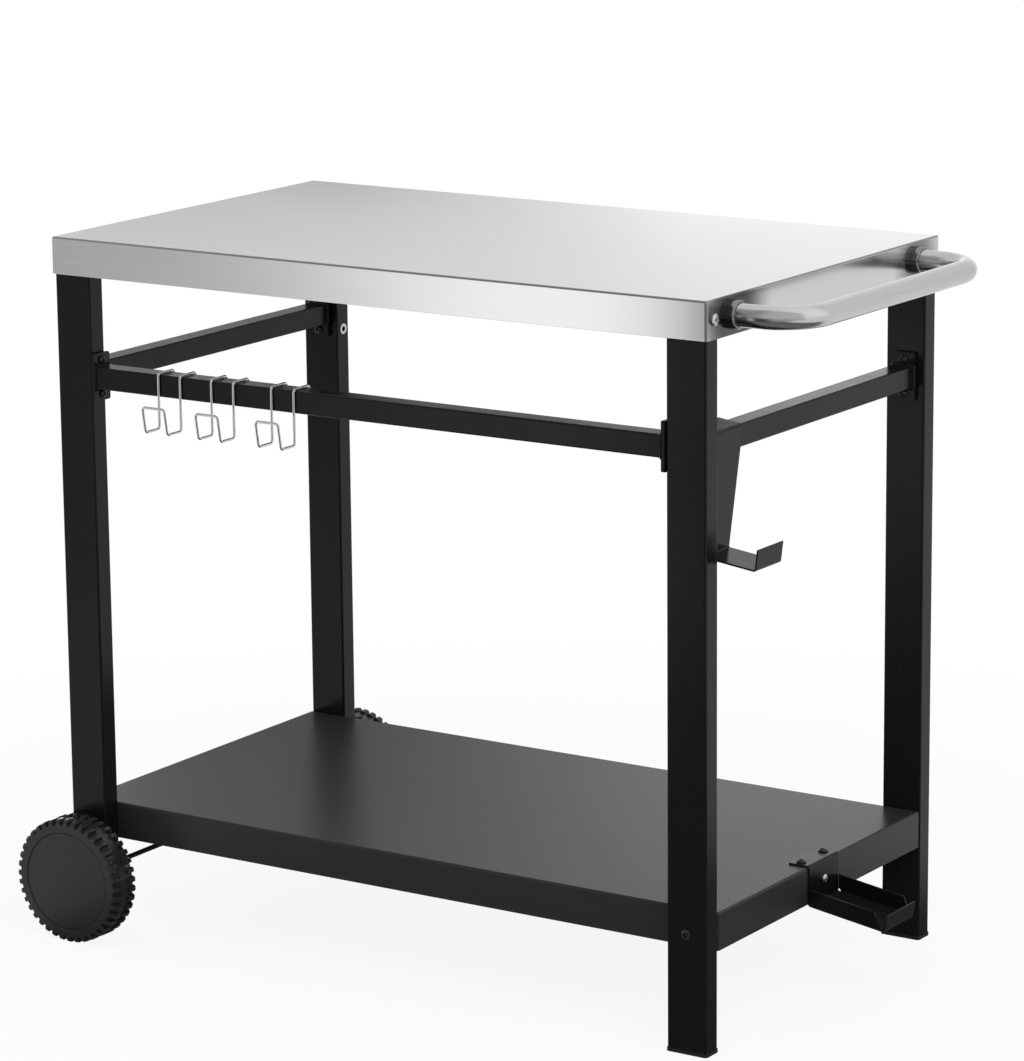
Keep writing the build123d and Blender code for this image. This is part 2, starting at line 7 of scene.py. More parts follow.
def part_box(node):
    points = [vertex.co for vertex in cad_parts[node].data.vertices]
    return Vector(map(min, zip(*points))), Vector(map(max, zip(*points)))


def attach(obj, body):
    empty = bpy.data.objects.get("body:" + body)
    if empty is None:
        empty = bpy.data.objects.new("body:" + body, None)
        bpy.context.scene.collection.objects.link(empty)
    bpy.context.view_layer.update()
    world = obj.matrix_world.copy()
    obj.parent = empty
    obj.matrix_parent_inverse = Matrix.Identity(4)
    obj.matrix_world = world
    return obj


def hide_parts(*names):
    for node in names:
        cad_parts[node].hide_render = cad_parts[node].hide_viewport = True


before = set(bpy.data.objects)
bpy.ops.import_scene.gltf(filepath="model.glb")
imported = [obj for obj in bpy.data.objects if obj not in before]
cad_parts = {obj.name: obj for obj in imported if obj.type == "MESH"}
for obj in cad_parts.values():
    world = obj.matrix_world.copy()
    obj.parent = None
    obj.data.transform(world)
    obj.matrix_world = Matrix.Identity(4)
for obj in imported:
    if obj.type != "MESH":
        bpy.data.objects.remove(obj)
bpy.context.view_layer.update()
print("frame loaded,", len(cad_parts), "nodes")

scene = bpy.context.scene
scene.view_settings.view_transform = "Standard"
mm = 0.001  # the shapes below are worked out in millimetres


def nodeBox(node):
    low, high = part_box(node)
    return np.array(low) / mm, np.array(high) / mm


def nodeMiddle(node):
    low, high = nodeBox(node)
    return (low + high) / 2


def unit(vectors):
    return vectors / np.linalg.norm(vectors, axis=-1, keepdims=True)


# Shapes


def roundCorners(points, radius, steps, closed=False):
    # Each corner becomes an arc: both runs are cut back by the radius times the tangent of half the turn,
    # and the arc leaves the first run along it and bends over to the second.
    points = np.asarray(points, float)
    before, corner, after = points[:-2], points[1:-1], points[2:]
    if closed:
        before, corner, after = np.roll(points, 1, axis=0), points, np.roll(points, -1, axis=0)
    into, out = unit(corner - before), unit(after - corner)
    turn = np.arccos(np.clip((into * out).sum(axis=1), -1, 1))
    radius = np.broadcast_to(np.asarray(radius, float), turn.shape)
    start = corner - into * (radius * np.tan(turn / 2))[:, None]
    inward = unit(out - into * np.cos(turn)[:, None])
    swing = turn[:, None] * np.linspace(0, 1, steps + 1)
    arc = start[:, None] + radius[:, None, None] * (
        np.sin(swing)[..., None] * into[:, None] + (1 - np.cos(swing))[..., None] * inward[:, None])
    line = arc.reshape(-1, points.shape[1])
    if not closed:
        line = np.vstack([points[:1], line, points[-1:]])
    gap = np.linalg.norm(np.diff(line, axis=0, prepend=line[-1:]), axis=1)
    return line[gap > 1e-5]


def circleProfile(radius, sides):
    # Points at equal angles round a circle, each with its outward normal.
    angle = np.linspace(0, 2 * pi, sides, endpoint=False)
    outward = np.stack([np.cos(angle), np.sin(angle)], axis=1)
    return radius * outward, outward


def blockProfile(width, height, radius, steps=3):
    # Four quarter circles about the inset corners; width may be one number or one for each station.
    angle = (np.arange(4)[:, None] * pi / 2 + np.linspace(0, pi / 2, steps + 1)).ravel()
    outward = np.stack([np.cos(angle), np.sin(angle)], axis=1)
    corner = np.repeat([[1, 1], [-1, 1], [-1, -1], [1, -1]], steps + 1, axis=0)
    half = np.stack(np.broadcast_arrays(np.asarray(width, float) / 2, height / 2), axis=-1) - radius
    return corner * half[..., None, :] + radius * outward, outward


def softEnds(path, edge):
    # Each end gets a quarter circle in three stations: the profile is drawn in by what the path gives up.
    # 0.293 is one less the cosine of 45 degrees, and 0.98 keeps the corners of the end apart.
    first, last = unit(path[1] - path[0]), unit(path[-1] - path[-2])
    reach = edge * np.array([0, 0.293, 1])
    stations = np.vstack([path[0] + reach[:, None] * first, path[1:-1],
                          path[-1] - reach[::-1, None] * last])
    inset = np.zeros(len(stations))
    inset[:2] = inset[:-3:-1] = edge * np.array([0.98, 0.293])
    return stations, inset


def carryProfile(path, across, profile, outward, inset=0.0):
    # Station by station: path point + profile x along `across` + profile y along across x tangent,
    # with the profile drawn in along its own normals by the inset.
    step = unit(np.diff(path, axis=0))
    tangent = unit(np.vstack([step[:1], step[:-1] + step[1:], step[-1:]]))
    across = unit(across - (tangent * across).sum(axis=1, keepdims=True) * tangent)
    above = np.cross(across, tangent)
    shape = profile - np.broadcast_to(inset, len(path))[:, None, None] * outward
    return path[:, None] + shape[..., :1] * across[:, None] + shape[..., 1:] * above[:, None]


def turned(outline, origin, axis, sides, radiusOf=None):
    # Rows go round the axis, columns along the closed outline of (radius, height);
    # radiusOf may change each radius by its angle.
    axis = unit(np.asarray(axis, float))
    side = unit(np.cross(axis, [0.31, 0.52, 0.79] if abs(axis[2]) > 0.9 else [0, 0, 1]))
    front = np.cross(side, axis)
    angle = np.linspace(0, 2 * pi, sides, endpoint=False) if np.isscalar(sides) else sides
    radius = np.broadcast_to(outline[:, 0], (len(angle), len(outline)))
    if radiusOf is not None:
        radius = radiusOf(angle[:, None], radius, outline[:, 1])
    around = np.cos(angle)[:, None] * front + np.sin(angle)[:, None] * side
    return np.asarray(origin, float) + radius[..., None] * around[:, None] + outline[:, 1:2] * axis


def gridPart(points, wrapRows=False, wrapColumns=False, caps=False):
    # A rows x columns grid of points joined by quads. Wrapping joins the last line to the first,
    # caps close the first and last row with one face each. UV runs in metres along rows and columns.
    rows, columns = points.shape[:2]
    index = np.arange(rows * columns).reshape(rows, columns)
    first, last = index[0][::-1], index[-1]
    if wrapRows:
        index = np.vstack([index, index[:1]])
    if wrapColumns:
        index = np.hstack([index, index[:, :1]])
    vertices = points.reshape(-1, 3)
    middle = vertices[index[len(index) // 2]]
    edge = vertices[index[:, 0]]
    alongRows = np.r_[0, np.cumsum(np.linalg.norm(np.diff(edge, axis=0), axis=1))]
    alongColumns = np.r_[0, np.cumsum(np.linalg.norm(np.diff(middle, axis=0), axis=1))]
    uvGrid = np.stack(np.meshgrid(alongRows, alongColumns, indexing="ij"), axis=-1)
    corners = [np.s_[:-1, :-1], np.s_[1:, :-1], np.s_[1:, 1:], np.s_[:-1, 1:]]
    quads = np.stack([index[c] for c in corners], axis=-1).reshape(-1, 4)
    quadUv = np.stack([uvGrid[c] for c in corners], axis=-2).reshape(-1, 2)
    loops, uv, counts = [quads.ravel()], [quadUv], [np.full(len(quads), 4)]
    if caps:
        for ring in (first, last):
            loops.append(ring)
            uv.append(vertices[ring][:, :2])
            counts.append(np.array([len(ring)]))
    return {"vertices": vertices, "loops": np.concatenate(loops), "uv": np.vstack(uv),
            "counts": np.concatenate(counts)}


def sweptPart(path, across, profile, outward, inset=0.0):
    # A profile carried along a path and closed at both ends.
    return gridPart(carryProfile(path, across, profile, outward, inset), wrapColumns=True, caps=True)


def lathePart(outline, origin, axis, sides, radiusOf=None):
    # A closed outline turned all the way round an axis.
    return gridPart(turned(outline, origin, axis, sides, radiusOf), wrapRows=True, wrapColumns=True)


def facingOut(part):
    # Six times the volume is the sum of each fan triangle's triple product; a negative one is turned over.
    counts, loops = part["counts"], part["loops"]
    starts = np.cumsum(counts) - counts
    face = np.repeat(np.arange(len(counts)), counts - 2)
    place = np.arange(len(face)) - np.repeat(np.cumsum(counts - 2) - (counts - 2), counts - 2)
    a, b, c = (part["vertices"][loops[starts[face] + k]] for k in (0 * place, place + 1, place + 2))
    if np.einsum("ij,ij->i", a, np.cross(b, c)).sum() < 0:
        spot = np.arange(len(loops)) - np.repeat(starts, counts)
        back = np.repeat(starts + counts, counts) - 1 - spot
        part["loops"], part["uv"] = loops[back], part["uv"][back]
    return part


def makePiece(name, parts, material, body, nodes=(), crease=35):
    # All parts in one mesh, metres, smooth except where faces meet at more than the crease angle.
    parts = [facingOut(part) for part in parts]
    offsets = np.cumsum([0] + [len(part["vertices"]) for part in parts])
    vertices = np.vstack([part["vertices"] for part in parts]) * mm
    loops = np.concatenate([part["loops"] + shift for part, shift in zip(parts, offsets)])
    counts = np.concatenate([part["counts"] for part in parts])
    uv = np.vstack([part["uv"] for part in parts]) * mm
    mesh = bpy.data.meshes.new(name)
    mesh.vertices.add(len(vertices))
    mesh.vertices.foreach_set("co", vertices.ravel())
    mesh.loops.add(len(loops))
    mesh.loops.foreach_set("vertex_index", loops.astype(np.int32))
    mesh.polygons.add(len(counts))
    mesh.polygons.foreach_set("loop_start", (np.cumsum(counts) - counts).astype(np.int32))
    mesh.polygons.foreach_set("use_smooth", np.ones(len(counts), bool))
    mesh.update(calc_edges=True)
    grain = mesh.uv_layers.new(name="grain")
    grain.data.foreach_set("uv", uv.ravel())
    mesh.validate()
    fold = np.concatenate([part.get("fold", np.zeros(len(part["vertices"]))) for part in parts])
    if fold.any():
        mesh.attributes.new("fold", "FLOAT", "POINT").data.foreach_set("value", fold)
    mesh.set_sharp_from_angle(angle=radians(crease))
    mesh.materials.append(material)
    piece = bpy.data.objects.new(name, mesh)
    scene.collection.objects.link(piece)
    shading = piece.modifiers.new("evenFlats", "WEIGHTED_NORMAL")
    shading.keep_sharp = True
    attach(piece, body)
    if nodes:
        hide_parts(*nodes)
    return piece


# Finishes


def newGroup(name, inputs, outputs):
    group = bpy.data.node_groups.new(name, "ShaderNodeTree")
    for label, value in inputs.items():
        group.interface.new_socket(label, in_out="INPUT", socket_type="NodeSocketFloat").default_value = value
    for label in outputs:
        group.interface.new_socket(label, in_out="OUTPUT", socket_type="NodeSocketFloat")
    return group, group.nodes.new("NodeGroupInput"), group.nodes.new("NodeGroupOutput")


def addNode(tree, kind, settings=(), **sockets):
    node = tree.nodes.new("ShaderNode" + kind)
    for label, value in dict(settings).items():
        setattr(node, label, value)
    for label, value in sockets.items():
        numbered = label[0] == "i" and label[1:].isdigit()  # i0, i1 and so on give a socket by its place
        socket = node.inputs[int(label[1:]) if numbered else label]
        if isinstance(value, bpy.types.NodeSocket):
            tree.links.new(value, socket)
        else:
            socket.default_value = value
    return node


def reckon(tree, operation, *values):
    sockets = {f"i{place}": value for place, value in enumerate(values)}
    return addNode(tree, "Math", {"operation": operation}, **sockets).outputs[0]


def spreadOver(tree, value, fromRange, toRange, kind="SMOOTHSTEP"):
    sockets = dict(zip(("From Min", "From Max", "To Min", "To Max"), (*fromRange, *toRange)))
    return addNode(tree, "MapRange", {"interpolation_type": kind}, Value=value, **sockets).outputs["Result"]


def mixColours(tree, mask, under, over):
    # Either colour may also be the output of another node.
    under, over = ((*side, 1) if isinstance(side, tuple) else side for side in (under, over))
    return addNode(tree, "Mix", {"data_type": "RGBA"}, i0=mask, i6=under, i7=over).outputs[2]


def coatGrainGroup():
    # Two sizes of noise on Object coordinates: the pebbled skin of a powder coat or a moulding.
    group, given, result = newGroup("coatGrain", {"Scale": 600.0, "Soft": 0.5}, ("Tone", "Height"))
    place = addNode(group, "TexCoord").outputs["Object"]
    fine = addNode(group, "TexNoise", Vector=place, Scale=given.outputs["Scale"], Detail=3.0,
                   Roughness=given.outputs["Soft"]).outputs["Fac"]
    coarseScale = reckon(group, "MULTIPLY", given.outputs["Scale"], 0.23)
    coarse = addNode(group, "TexNoise", Vector=place, Scale=coarseScale, Detail=2.0).outputs["Fac"]
    group.links.new(fine, result.inputs["Tone"])
    group.links.new(reckon(group, "MULTIPLY_ADD", coarse, 0.6, fine), result.inputs["Height"])
    return group


def brushMarksGroup():
    # Noise drawn out along the piece's own UV: long in u, very short in v.
    group, given, result = newGroup("brushMarks", {"Along": 12.0, "Across": 1400.0}, ("Tone", "Height"))
    place = addNode(group, "UVMap", {"uv_map": "grain"}).outputs["UV"]
    stretch = addNode(group, "CombineXYZ", X=given.outputs["Along"], Y=given.outputs["Across"]).outputs[0]
    drawn = addNode(group, "VectorMath", {"operation": "MULTIPLY"}, i0=place, i1=stretch).outputs[0]
    fine = addNode(group, "TexNoise", Vector=drawn, Scale=1.0, Detail=5.0, Roughness=0.62).outputs["Fac"]
    wide = addNode(group, "VectorMath", {"operation": "MULTIPLY"}, i0=drawn, i1=(0.45, 0.07, 1.0)).outputs[0]
    broad = addNode(group, "TexNoise", Vector=wide, Scale=1.0, Detail=2.0).outputs["Fac"]
    tone = reckon(group, "SUBTRACT", reckon(group, "MULTIPLY_ADD", broad, 0.5, fine), 0.25)
    group.links.new(tone, result.inputs["Tone"])
    group.links.new(fine, result.inputs["Height"])
    return group


def handMarksGroup():
    # Wide soft blotches on Object coordinates, where a surface has been held or wiped.
    group, given, result = newGroup("handMarks", {"Scale": 6.0}, ("Mask",))
    place = addNode(group, "TexCoord").outputs["Object"]
    noise = addNode(group, "TexNoise", Vector=place, Scale=given.outputs["Scale"], Detail=4.0, Distortion=0.6)
    mask = spreadOver(group, noise.outputs["Fac"], (0.32, 0.68), (0.0, 1.0))
    group.links.new(mask, result.inputs["Mask"])
    return group


def settledDustGroup():
    # Faces that look up, broken by noise: where dust comes to lie.
    group, given, result = newGroup("settledDust", {"Scale": 90.0, "Amount": 0.3}, ("Mask",))
    facing = addNode(group, "SeparateXYZ", i0=addNode(group, "NewGeometry").outputs["Normal"])
    up = spreadOver(group, facing.outputs["Z"], (0.55, 0.98), (0.0, 1.0))
    place = addNode(group, "TexCoord").outputs["Object"]
    noise = addNode(group, "TexNoise", Vector=place, Scale=given.outputs["Scale"], Detail=6.0, Roughness=0.7)
    lying = reckon(group, "MULTIPLY", up, noise.outputs["Fac"])
    group.links.new(reckon(group, "MULTIPLY", lying, given.outputs["Amount"]), result.inputs["Mask"])
    return group


coatGrain, brushMarks = coatGrainGroup(), brushMarksGroup()
handMarks, settledDust = handMarksGroup(), settledDustGroup()


def newFinish(name):
    material = bpy.data.materials.new(name)
    material.use_nodes = True
    return material, material.node_tree, material.node_tree.nodes["Principled BSDF"]


def placeGroup(tree, group, **values):
    node = tree.nodes.new("ShaderNodeGroup")
    node.node_tree = group
    for label, value in values.items():
        node.inputs[label].default_value = value
    return node


def dressShader(tree, shader, look, skin, gloss, height):
    bump = addNode(tree, "Bump", Strength=look["relief"], Distance=look["reliefDepth"], Height=height)
    tree.links.new(skin, shader.inputs["Base Color"])
    tree.links.new(spreadOver(tree, gloss, (0.0, 1.0), look["rough"], "LINEAR"), shader.inputs["Roughness"])
    tree.links.new(bump.outputs["Normal"], shader.inputs["Normal"])


def grainedFinish(name, look):
    # Painted, moulded or plated skin: pebbled relief and blotchy gloss. Paint and plastic have a little dust
    # on what faces up, plating is bare metal.
    material, tree, shader = newFinish(name)
    grain = placeGroup(tree, coatGrain, Scale=look["grainScale"], Soft=look["grainSoft"])
    marks = placeGroup(tree, handMarks, Scale=look["markScale"])
    skin = mixColours(tree, grain.outputs["Tone"], look["dark"], look["light"])
    if "dust" in look:
        dust = placeGroup(tree, settledDust, Amount=look["dust"])
        skin = mixColours(tree, dust.outputs["Mask"], skin, look["dustColour"])
        shader.inputs["Specular IOR Level"].default_value = look["specular"]
    else:
        shader.inputs["Metallic"].default_value = 1.0
    dressShader(tree, shader, look, skin, marks.outputs["Mask"], grain.outputs["Height"])
    return material


def paintedSteelShade(tree, look):
    # A mask of painted shade on the steel: a dark line along the folded edges that stands in for the bends'
    # reflection, and painted reflection and shade on the end face round the collars.
    fold = addNode(tree, "Attribute", {"attribute_name": "fold"}).outputs["Fac"]
    mask = reckon(tree, "MULTIPLY", fold, look["foldPaintedShade"])
    place = addNode(tree, "TexCoord").outputs["Object"]
    across = addNode(tree, "SeparateXYZ", i0=place).outputs["X"]
    for centre, near, far, depth in look["paintedCollarShade"]:
        gap = addNode(tree, "VectorMath", {"operation": "DISTANCE"}, i0=place, i1=centre).outputs["Value"]
        onFace = spreadOver(tree, across, (centre[0] - 0.003, centre[0] - 0.001), (0.0, depth))
        paintedHalo = reckon(tree, "MULTIPLY", spreadOver(tree, gap, (near, far), (1.0, 0.0)), onFace)
        mask = reckon(tree, "MAXIMUM", mask, paintedHalo)
    return mask


def brushedFinish(name, look):
    # Bare metal: brush marks tint it, change its gloss and stand in its relief; hand marks dull it.
    material, tree, shader = newFinish(name)
    brush = placeGroup(tree, brushMarks, Along=look["along"], Across=look["across"])
    marks = placeGroup(tree, handMarks, Scale=look["markScale"])
    skin = mixColours(tree, brush.outputs["Tone"], look["dark"], look["light"])
    # Painted shade: where the look asks for it, the steel is darkened along the folds and round the collars.
    if "foldPaintedShade" in look:
        skin = mixColours(tree, paintedSteelShade(tree, look), skin, look["paintedShadeColour"])
    gloss = reckon(tree, "MULTIPLY_ADD", marks.outputs["Mask"], look["markShare"], brush.outputs["Tone"])
    dressShader(tree, shader, look, skin, gloss, brush.outputs["Height"])
    shader.inputs["Metallic"].default_value = 1.0
    return material


def collarSpot(end):
    middle = nodeMiddle(end + "_handle_collar")
    return tuple(float(v) * mm for v in (nodeBox("table_top")[1][0], middle[1], middle[2]))


powderBlack = grainedFinish("powderBlack", {
    "grainScale": 620.0, "grainSoft": 0.55, "markScale": 9.0, "dust": 0.10, "dustColour": (0.10, 0.10, 0.10),
    "dark": (0.0040, 0.0040, 0.0042), "light": (0.0074, 0.0074, 0.0077), "rough": (0.19, 0.25),
    "relief": 0.08, "reliefDepth": 0.0003, "specular": 0.19})
# A lighter, rougher copy of the legs' black coat: its lighter colour is painted light on the shelf.
shelfBlackPaintedLight = grainedFinish("shelfBlackPaintedLight", {
    "grainScale": 620.0, "grainSoft": 0.55, "markScale": 5.0, "dust": 0.06, "dustColour": (0.10, 0.10, 0.10),
    "dark": (0.0190, 0.0190, 0.0195), "light": (0.0260, 0.0260, 0.0266), "rough": (0.30, 0.31),
    "relief": 0.08, "reliefDepth": 0.0003, "specular": 0.20})
blackOxide = grainedFinish("blackOxide", {
    "grainScale": 1800.0, "grainSoft": 0.5, "markScale": 60.0, "dust": 0.05, "dustColour": (0.12, 0.12, 0.12),
    "dark": (0.008, 0.008, 0.009), "light": (0.018, 0.018, 0.020), "rough": (0.20, 0.32),
    "relief": 0.08, "reliefDepth": 0.0001, "specular": 0.50})
footPlastic = grainedFinish("footPlastic", {
    "grainScale": 900.0, "grainSoft": 0.6, "markScale": 40.0, "dust": 0.12, "dustColour": (0.14, 0.13, 0.12),
    "dark": (0.008, 0.008, 0.008), "light": (0.016, 0.016, 0.016), "rough": (0.44, 0.58),
    "relief": 0.25, "reliefDepth": 0.0003, "specular": 0.36})
wheelPlastic = grainedFinish("wheelPlastic", {
    "grainScale": 780.0, "grainSoft": 0.6, "markScale": 26.0, "dust": 0.10, "dustColour": (0.13, 0.13, 0.13),
    "dark": (0.010, 0.010, 0.0105), "light": (0.019, 0.019, 0.0198), "rough": (0.27, 0.34),
    "relief": 0.18, "reliefDepth": 0.0003, "specular": 0.36})
# The table top's steel carries painted shade: a dark line along its folds, and dark halos of painted
# reflection and shade on the end face round the handle collars, deeper at the front one.
sheetSteel = brushedFinish("sheetSteel", {
    "along": 7.0, "across": 1500.0, "markScale": 3.5, "markShare": 0.35,
    "dark": (0.70, 0.70, 0.705), "light": (0.80, 0.80, 0.802), "rough": (0.10, 0.17),
    "relief": 0.06, "reliefDepth": 0.00004, "foldPaintedShade": 0.7, "paintedShadeColour": (0.05, 0.05, 0.052),
    "paintedCollarShade": [(collarSpot("front"), 0.026, 0.085, 0.92), (collarSpot("back"), 0.014, 0.060, 0.75)]})
tubeSteel = brushedFinish("tubeSteel", {
    "along": 10.0, "across": 1800.0, "markScale": 12.0, "markShare": 0.4,
    "dark": (0.54, 0.54, 0.545), "light": (0.70, 0.70, 0.702), "rough": (0.15, 0.23),
    "relief": 0.05, "reliefDepth": 0.00003})
# The collars get a darker copy of the handle's steel: the darkness is painted reflection.
collarSteelPaintedDark = brushedFinish("collarSteelPaintedDark", {
    "along": 10.0, "across": 1800.0, "markScale": 30.0, "markShare": 0.4,
    "dark": (0.21, 0.21, 0.215), "light": (0.33, 0.33, 0.335), "rough": (0.06, 0.12),
    "relief": 0.05, "reliefDepth": 0.00003})
brightWire = brushedFinish("brightWire", {
    "along": 60.0, "across": 2600.0, "markScale": 50.0, "markShare": 0.3,
    "dark": (0.66, 0.66, 0.67), "light": (0.80, 0.80, 0.81), "rough": (0.04, 0.10),
    "relief": 0.03, "reliefDepth": 0.00002})
zincPlate = grainedFinish("zincPlate", {
    "grainScale": 900.0, "grainSoft": 0.6, "markScale": 120.0,
    "dark": (0.50, 0.51, 0.54), "light": (0.70, 0.69, 0.66), "rough": (0.18, 0.34),
    "relief": 0.08, "reliefDepth": 0.00005})
boltSteel = grainedFinish("boltSteel", {
    "grainScale": 1400.0, "grainSoft": 0.5, "markScale": 90.0,
    "dark": (0.56, 0.56, 0.565), "light": (0.70, 0.70, 0.702), "rough": (0.14, 0.26),
    "relief": 0.06, "reliefDepth": 0.00004})
print("finishes made,", len(bpy.data.node_groups), "shared effects")


# CAD nodes that stay, with the finish of their slot
keptNodes = {
    shelfBlackPaintedLight: ["lower_shelf"],
    powderBlack: ["front_left_leg", "front_right_leg", "back_left_leg", "back_right_leg",
                  "front_rail", "left_rail", "right_rail", "top_stiffener", "axle"],
    footPlastic: ["front_left_plug", "back_left_plug", "front_right_foot", "back_right_foot"],
    zincPlate: ["shelf_nuts", "axle_washers", "axle_nuts", "tray_nuts"],
    boltSteel: ["handle_bolts"],
}
for finish, names in keptNodes.items():
    for node in names:
        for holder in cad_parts[node].material_slots:
            holder.material = finish
print("kept nodes finished")


# Table top
topLook = {"sheet": 1.5, "bend": 2.4, "corner": 3.0, "skirt": 42.0, "edge": 0.35, "bendSteps": 6,
           "hem": 10.0, "hemGap": 2.0, "hemEdge": 0.4, "hemSink": 0.6}


def panPart(low, high, look):
    # Columns go round a rounded rectangle, rows along the section: over the bend, down the skirt, round its
    # lower edge, up the inside and under the sheet. The two flat faces close the first and the last row.
    sheet, bend, steps = look["sheet"], look["bend"], look["bendSteps"]
    top, bottom, turn = high[2], high[2] - look["skirt"], high[2] - look["skirt"] + 5
    swing = np.linspace(0, pi / 2, steps + 1)
    over = np.stack([bend * (1 - np.sin(swing)), top - bend * (1 - np.cos(swing))], axis=1)
    lower = roundCorners([(0, turn), (0, bottom), (sheet, bottom), (sheet, turn)], look["edge"], 3)
    inner = bend - sheet
    under = np.stack([sheet + inner * (1 - np.cos(swing)), top - bend + inner * np.sin(swing)], axis=1)
    section = np.vstack([over, lower, under])
    outline, outward = blockProfile(*(high - low)[:2], look["corner"], steps)
    points = np.empty((len(section), len(outline), 3))
    points[..., :2] = outline + (high + low)[:2] / 2 - section[:, None, :1] * outward
    points[..., 2] = section[:, 1:]
    part = gridPart(points, wrapColumns=True, caps=True)
    # The fold share is 1 at the middle of each bend and upright corner; the finish paints a dark line there
    # as painted reflection shade.
    bendShare = np.r_[np.sin(2 * swing), np.zeros(len(section) - len(over))]
    drop = np.r_[np.sin(swing) ** 2, np.ones(len(lower)), np.zeros(len(under))]
    cornerShare = (2 * outward.prod(axis=1)) ** 2 * drop[:, None]
    part["fold"] = np.maximum(bendShare[:, None], cornerShare).ravel()
    # The grain runs round the skirt and along the top.
    onSkirt = np.arange(len(part["uv"]))[:, None] < part["counts"][:-2].sum()
    part["uv"] = np.where(onSkirt, part["uv"][:, ::-1], part["uv"])
    return part


def plankPart(start, end, width, height, edge):
    # A straight bar with softened edges between two points, its width level.
    path, inset = softEnds(np.array([start, end], float), edge)
    profile, outward = blockProfile(width, height, edge)
    level = unit(np.cross([0, 0, 1.0], path[-1] - path[0]))
    return sweptPart(path, level, profile, outward, inset)


topLow, topHigh = nodeBox("table_top")
topMiddle = (topLow + topHigh) / 2
legLow, legHigh = nodeBox("front_right_leg")
topParts = [panPart(topLow, topHigh, topLook)]
hemWidth = topLook["hem"] + topLook["hemSink"]
hemZ = topLow[2] + topLook["sheet"] / 2
hemX = legLow[0] - topLook["hemGap"] - topMiddle[0]
hemY = -legHigh[1] - topLook["hemGap"]
hemSpot = (topHigh - topLow) / 2 - topLook["sheet"] - topLook["hem"] / 2 + topLook["hemSink"] / 2
for side in (-1, 1):
    lengthways = [(topMiddle[0] + end * hemX, side * hemSpot[1], hemZ) for end in (-1, 1)]
    crossways = [(topMiddle[0] + side * hemSpot[0], end * hemY, hemZ) for end in (-1, 1)]
    for ends in (lengthways, crossways):
        topParts.append(plankPart(*ends, hemWidth, topLook["sheet"], topLook["hemEdge"]))
makePiece("tableTop", topParts, sheetSteel, "frame", ["table_top"])
print("table top made")


# Push handle and its collars
handleLook = {"bend": 50.0, "sides": 72, "bendSteps": 28,
              "collarRound": 2.0, "collarFloor": 1.5, "collarBore": 12.6, "boltHole": 3.3}
handleLow, handleHigh = nodeBox("handle")
handleRadius = (handleHigh[2] - handleLow[2]) / 2
handleZ = (handleLow[2] + handleHigh[2]) / 2
gripX = handleHigh[0] - handleRadius
gripFront, gripBack = handleLow[1] + handleRadius, handleHigh[1] - handleRadius
bendPoints = [(handleLow[0], gripFront, handleZ), (gripX, gripFront, handleZ),
              (gripX, gripBack, handleZ), (handleLow[0], gripBack, handleZ)]
handlePath = roundCorners(bendPoints, handleLook["bend"], handleLook["bendSteps"])
profile, outward = circleProfile(handleRadius, handleLook["sides"])
tube = sweptPart(handlePath, np.array([0, 0, 1.0]), profile, outward)
makePiece("pushHandle", [tube], tubeSteel, "frame", ["handle"])
bore, floor, hole = handleLook["collarBore"], handleLook["collarFloor"], handleLook["boltHole"]
for end in ("front", "back"):
    node = end + "_handle_collar"
    low, high = nodeBox(node)
    radius, length = (high[2] - low[2]) / 2, high[0] - low[0]
    corners = [(radius, 0), (radius, length), (bore, length), (bore, floor), (hole, floor), (hole, 0)]
    outline = roundCorners(corners, [0.2, handleLook["collarRound"], 0.3, 0.2, 0.1, 0.1], 6, closed=True)
    seat = (low[0], *nodeMiddle(node)[1:])
    collar = lathePart(outline, seat, (1, 0, 0), handleLook["sides"])
    makePiece(end + "HandleCollar", [collar], collarSteelPaintedDark, "frame", [node])
print("handle made")


# Screws and rivet nuts
screwLook = {
    "top": {"head": 13.0, "height": 3.5, "shank": 6.0, "length": 13.0, "drive": "cross"},
    "rail": {"head": 10.0, "height": 3.5, "shank": 6.0, "length": 15.0, "drive": "hex"},
    "shelf": {"head": 11.5, "height": 3.0, "shank": 6.0, "length": 37.0, "drive": "hex"},
    "tray": {"head": 11.0, "height": 3.0, "shank": 6.0, "length": 10.0, "drive": "cross"},
    "tap": {"head": 9.5, "height": 3.0, "shank": 3.8, "length": 9.0, "drive": "cross"},
}
headLook = {"sides": 72, "domeFall": 0.55, "domePower": 3.2, "rim": 0.25, "rimBevel": 0.15, "tipBevel": 0.6}
# Widths as shares of the head's width, depth as a share of its height
driveLook = {"crossArm": 0.30, "crossWidth": 0.085, "hexHalf": 0.20, "wall": 0.03, "deep": 0.55}
nutLook = {"flange": 13.0, "flangeHeight": 1.0, "body": 9.0, "bodyLength": 12.0, "bore": 6.1, "sides": 48}


def driveDepth(x, y, drive, head, height):
    # How far inside the drive's outline a point is, turned into a recess with steep soft walls.
    if drive == "cross":
        arm, width = driveLook["crossArm"] * head, driveLook["crossWidth"] * head
        a, b = np.abs(x), np.abs(y)
        inside = np.maximum(np.minimum(width - b, arm - a), np.minimum(width - a, arm - b))
    else:
        angle = np.arange(3) * pi / 3
        across = np.abs(x[..., None] * np.cos(angle) + y[..., None] * np.sin(angle)).max(axis=-1)
        inside = driveLook["hexHalf"] * head - across
    return driveLook["deep"] * height * np.clip(inside / (driveLook["wall"] * head) + 0.5, 0, 1)


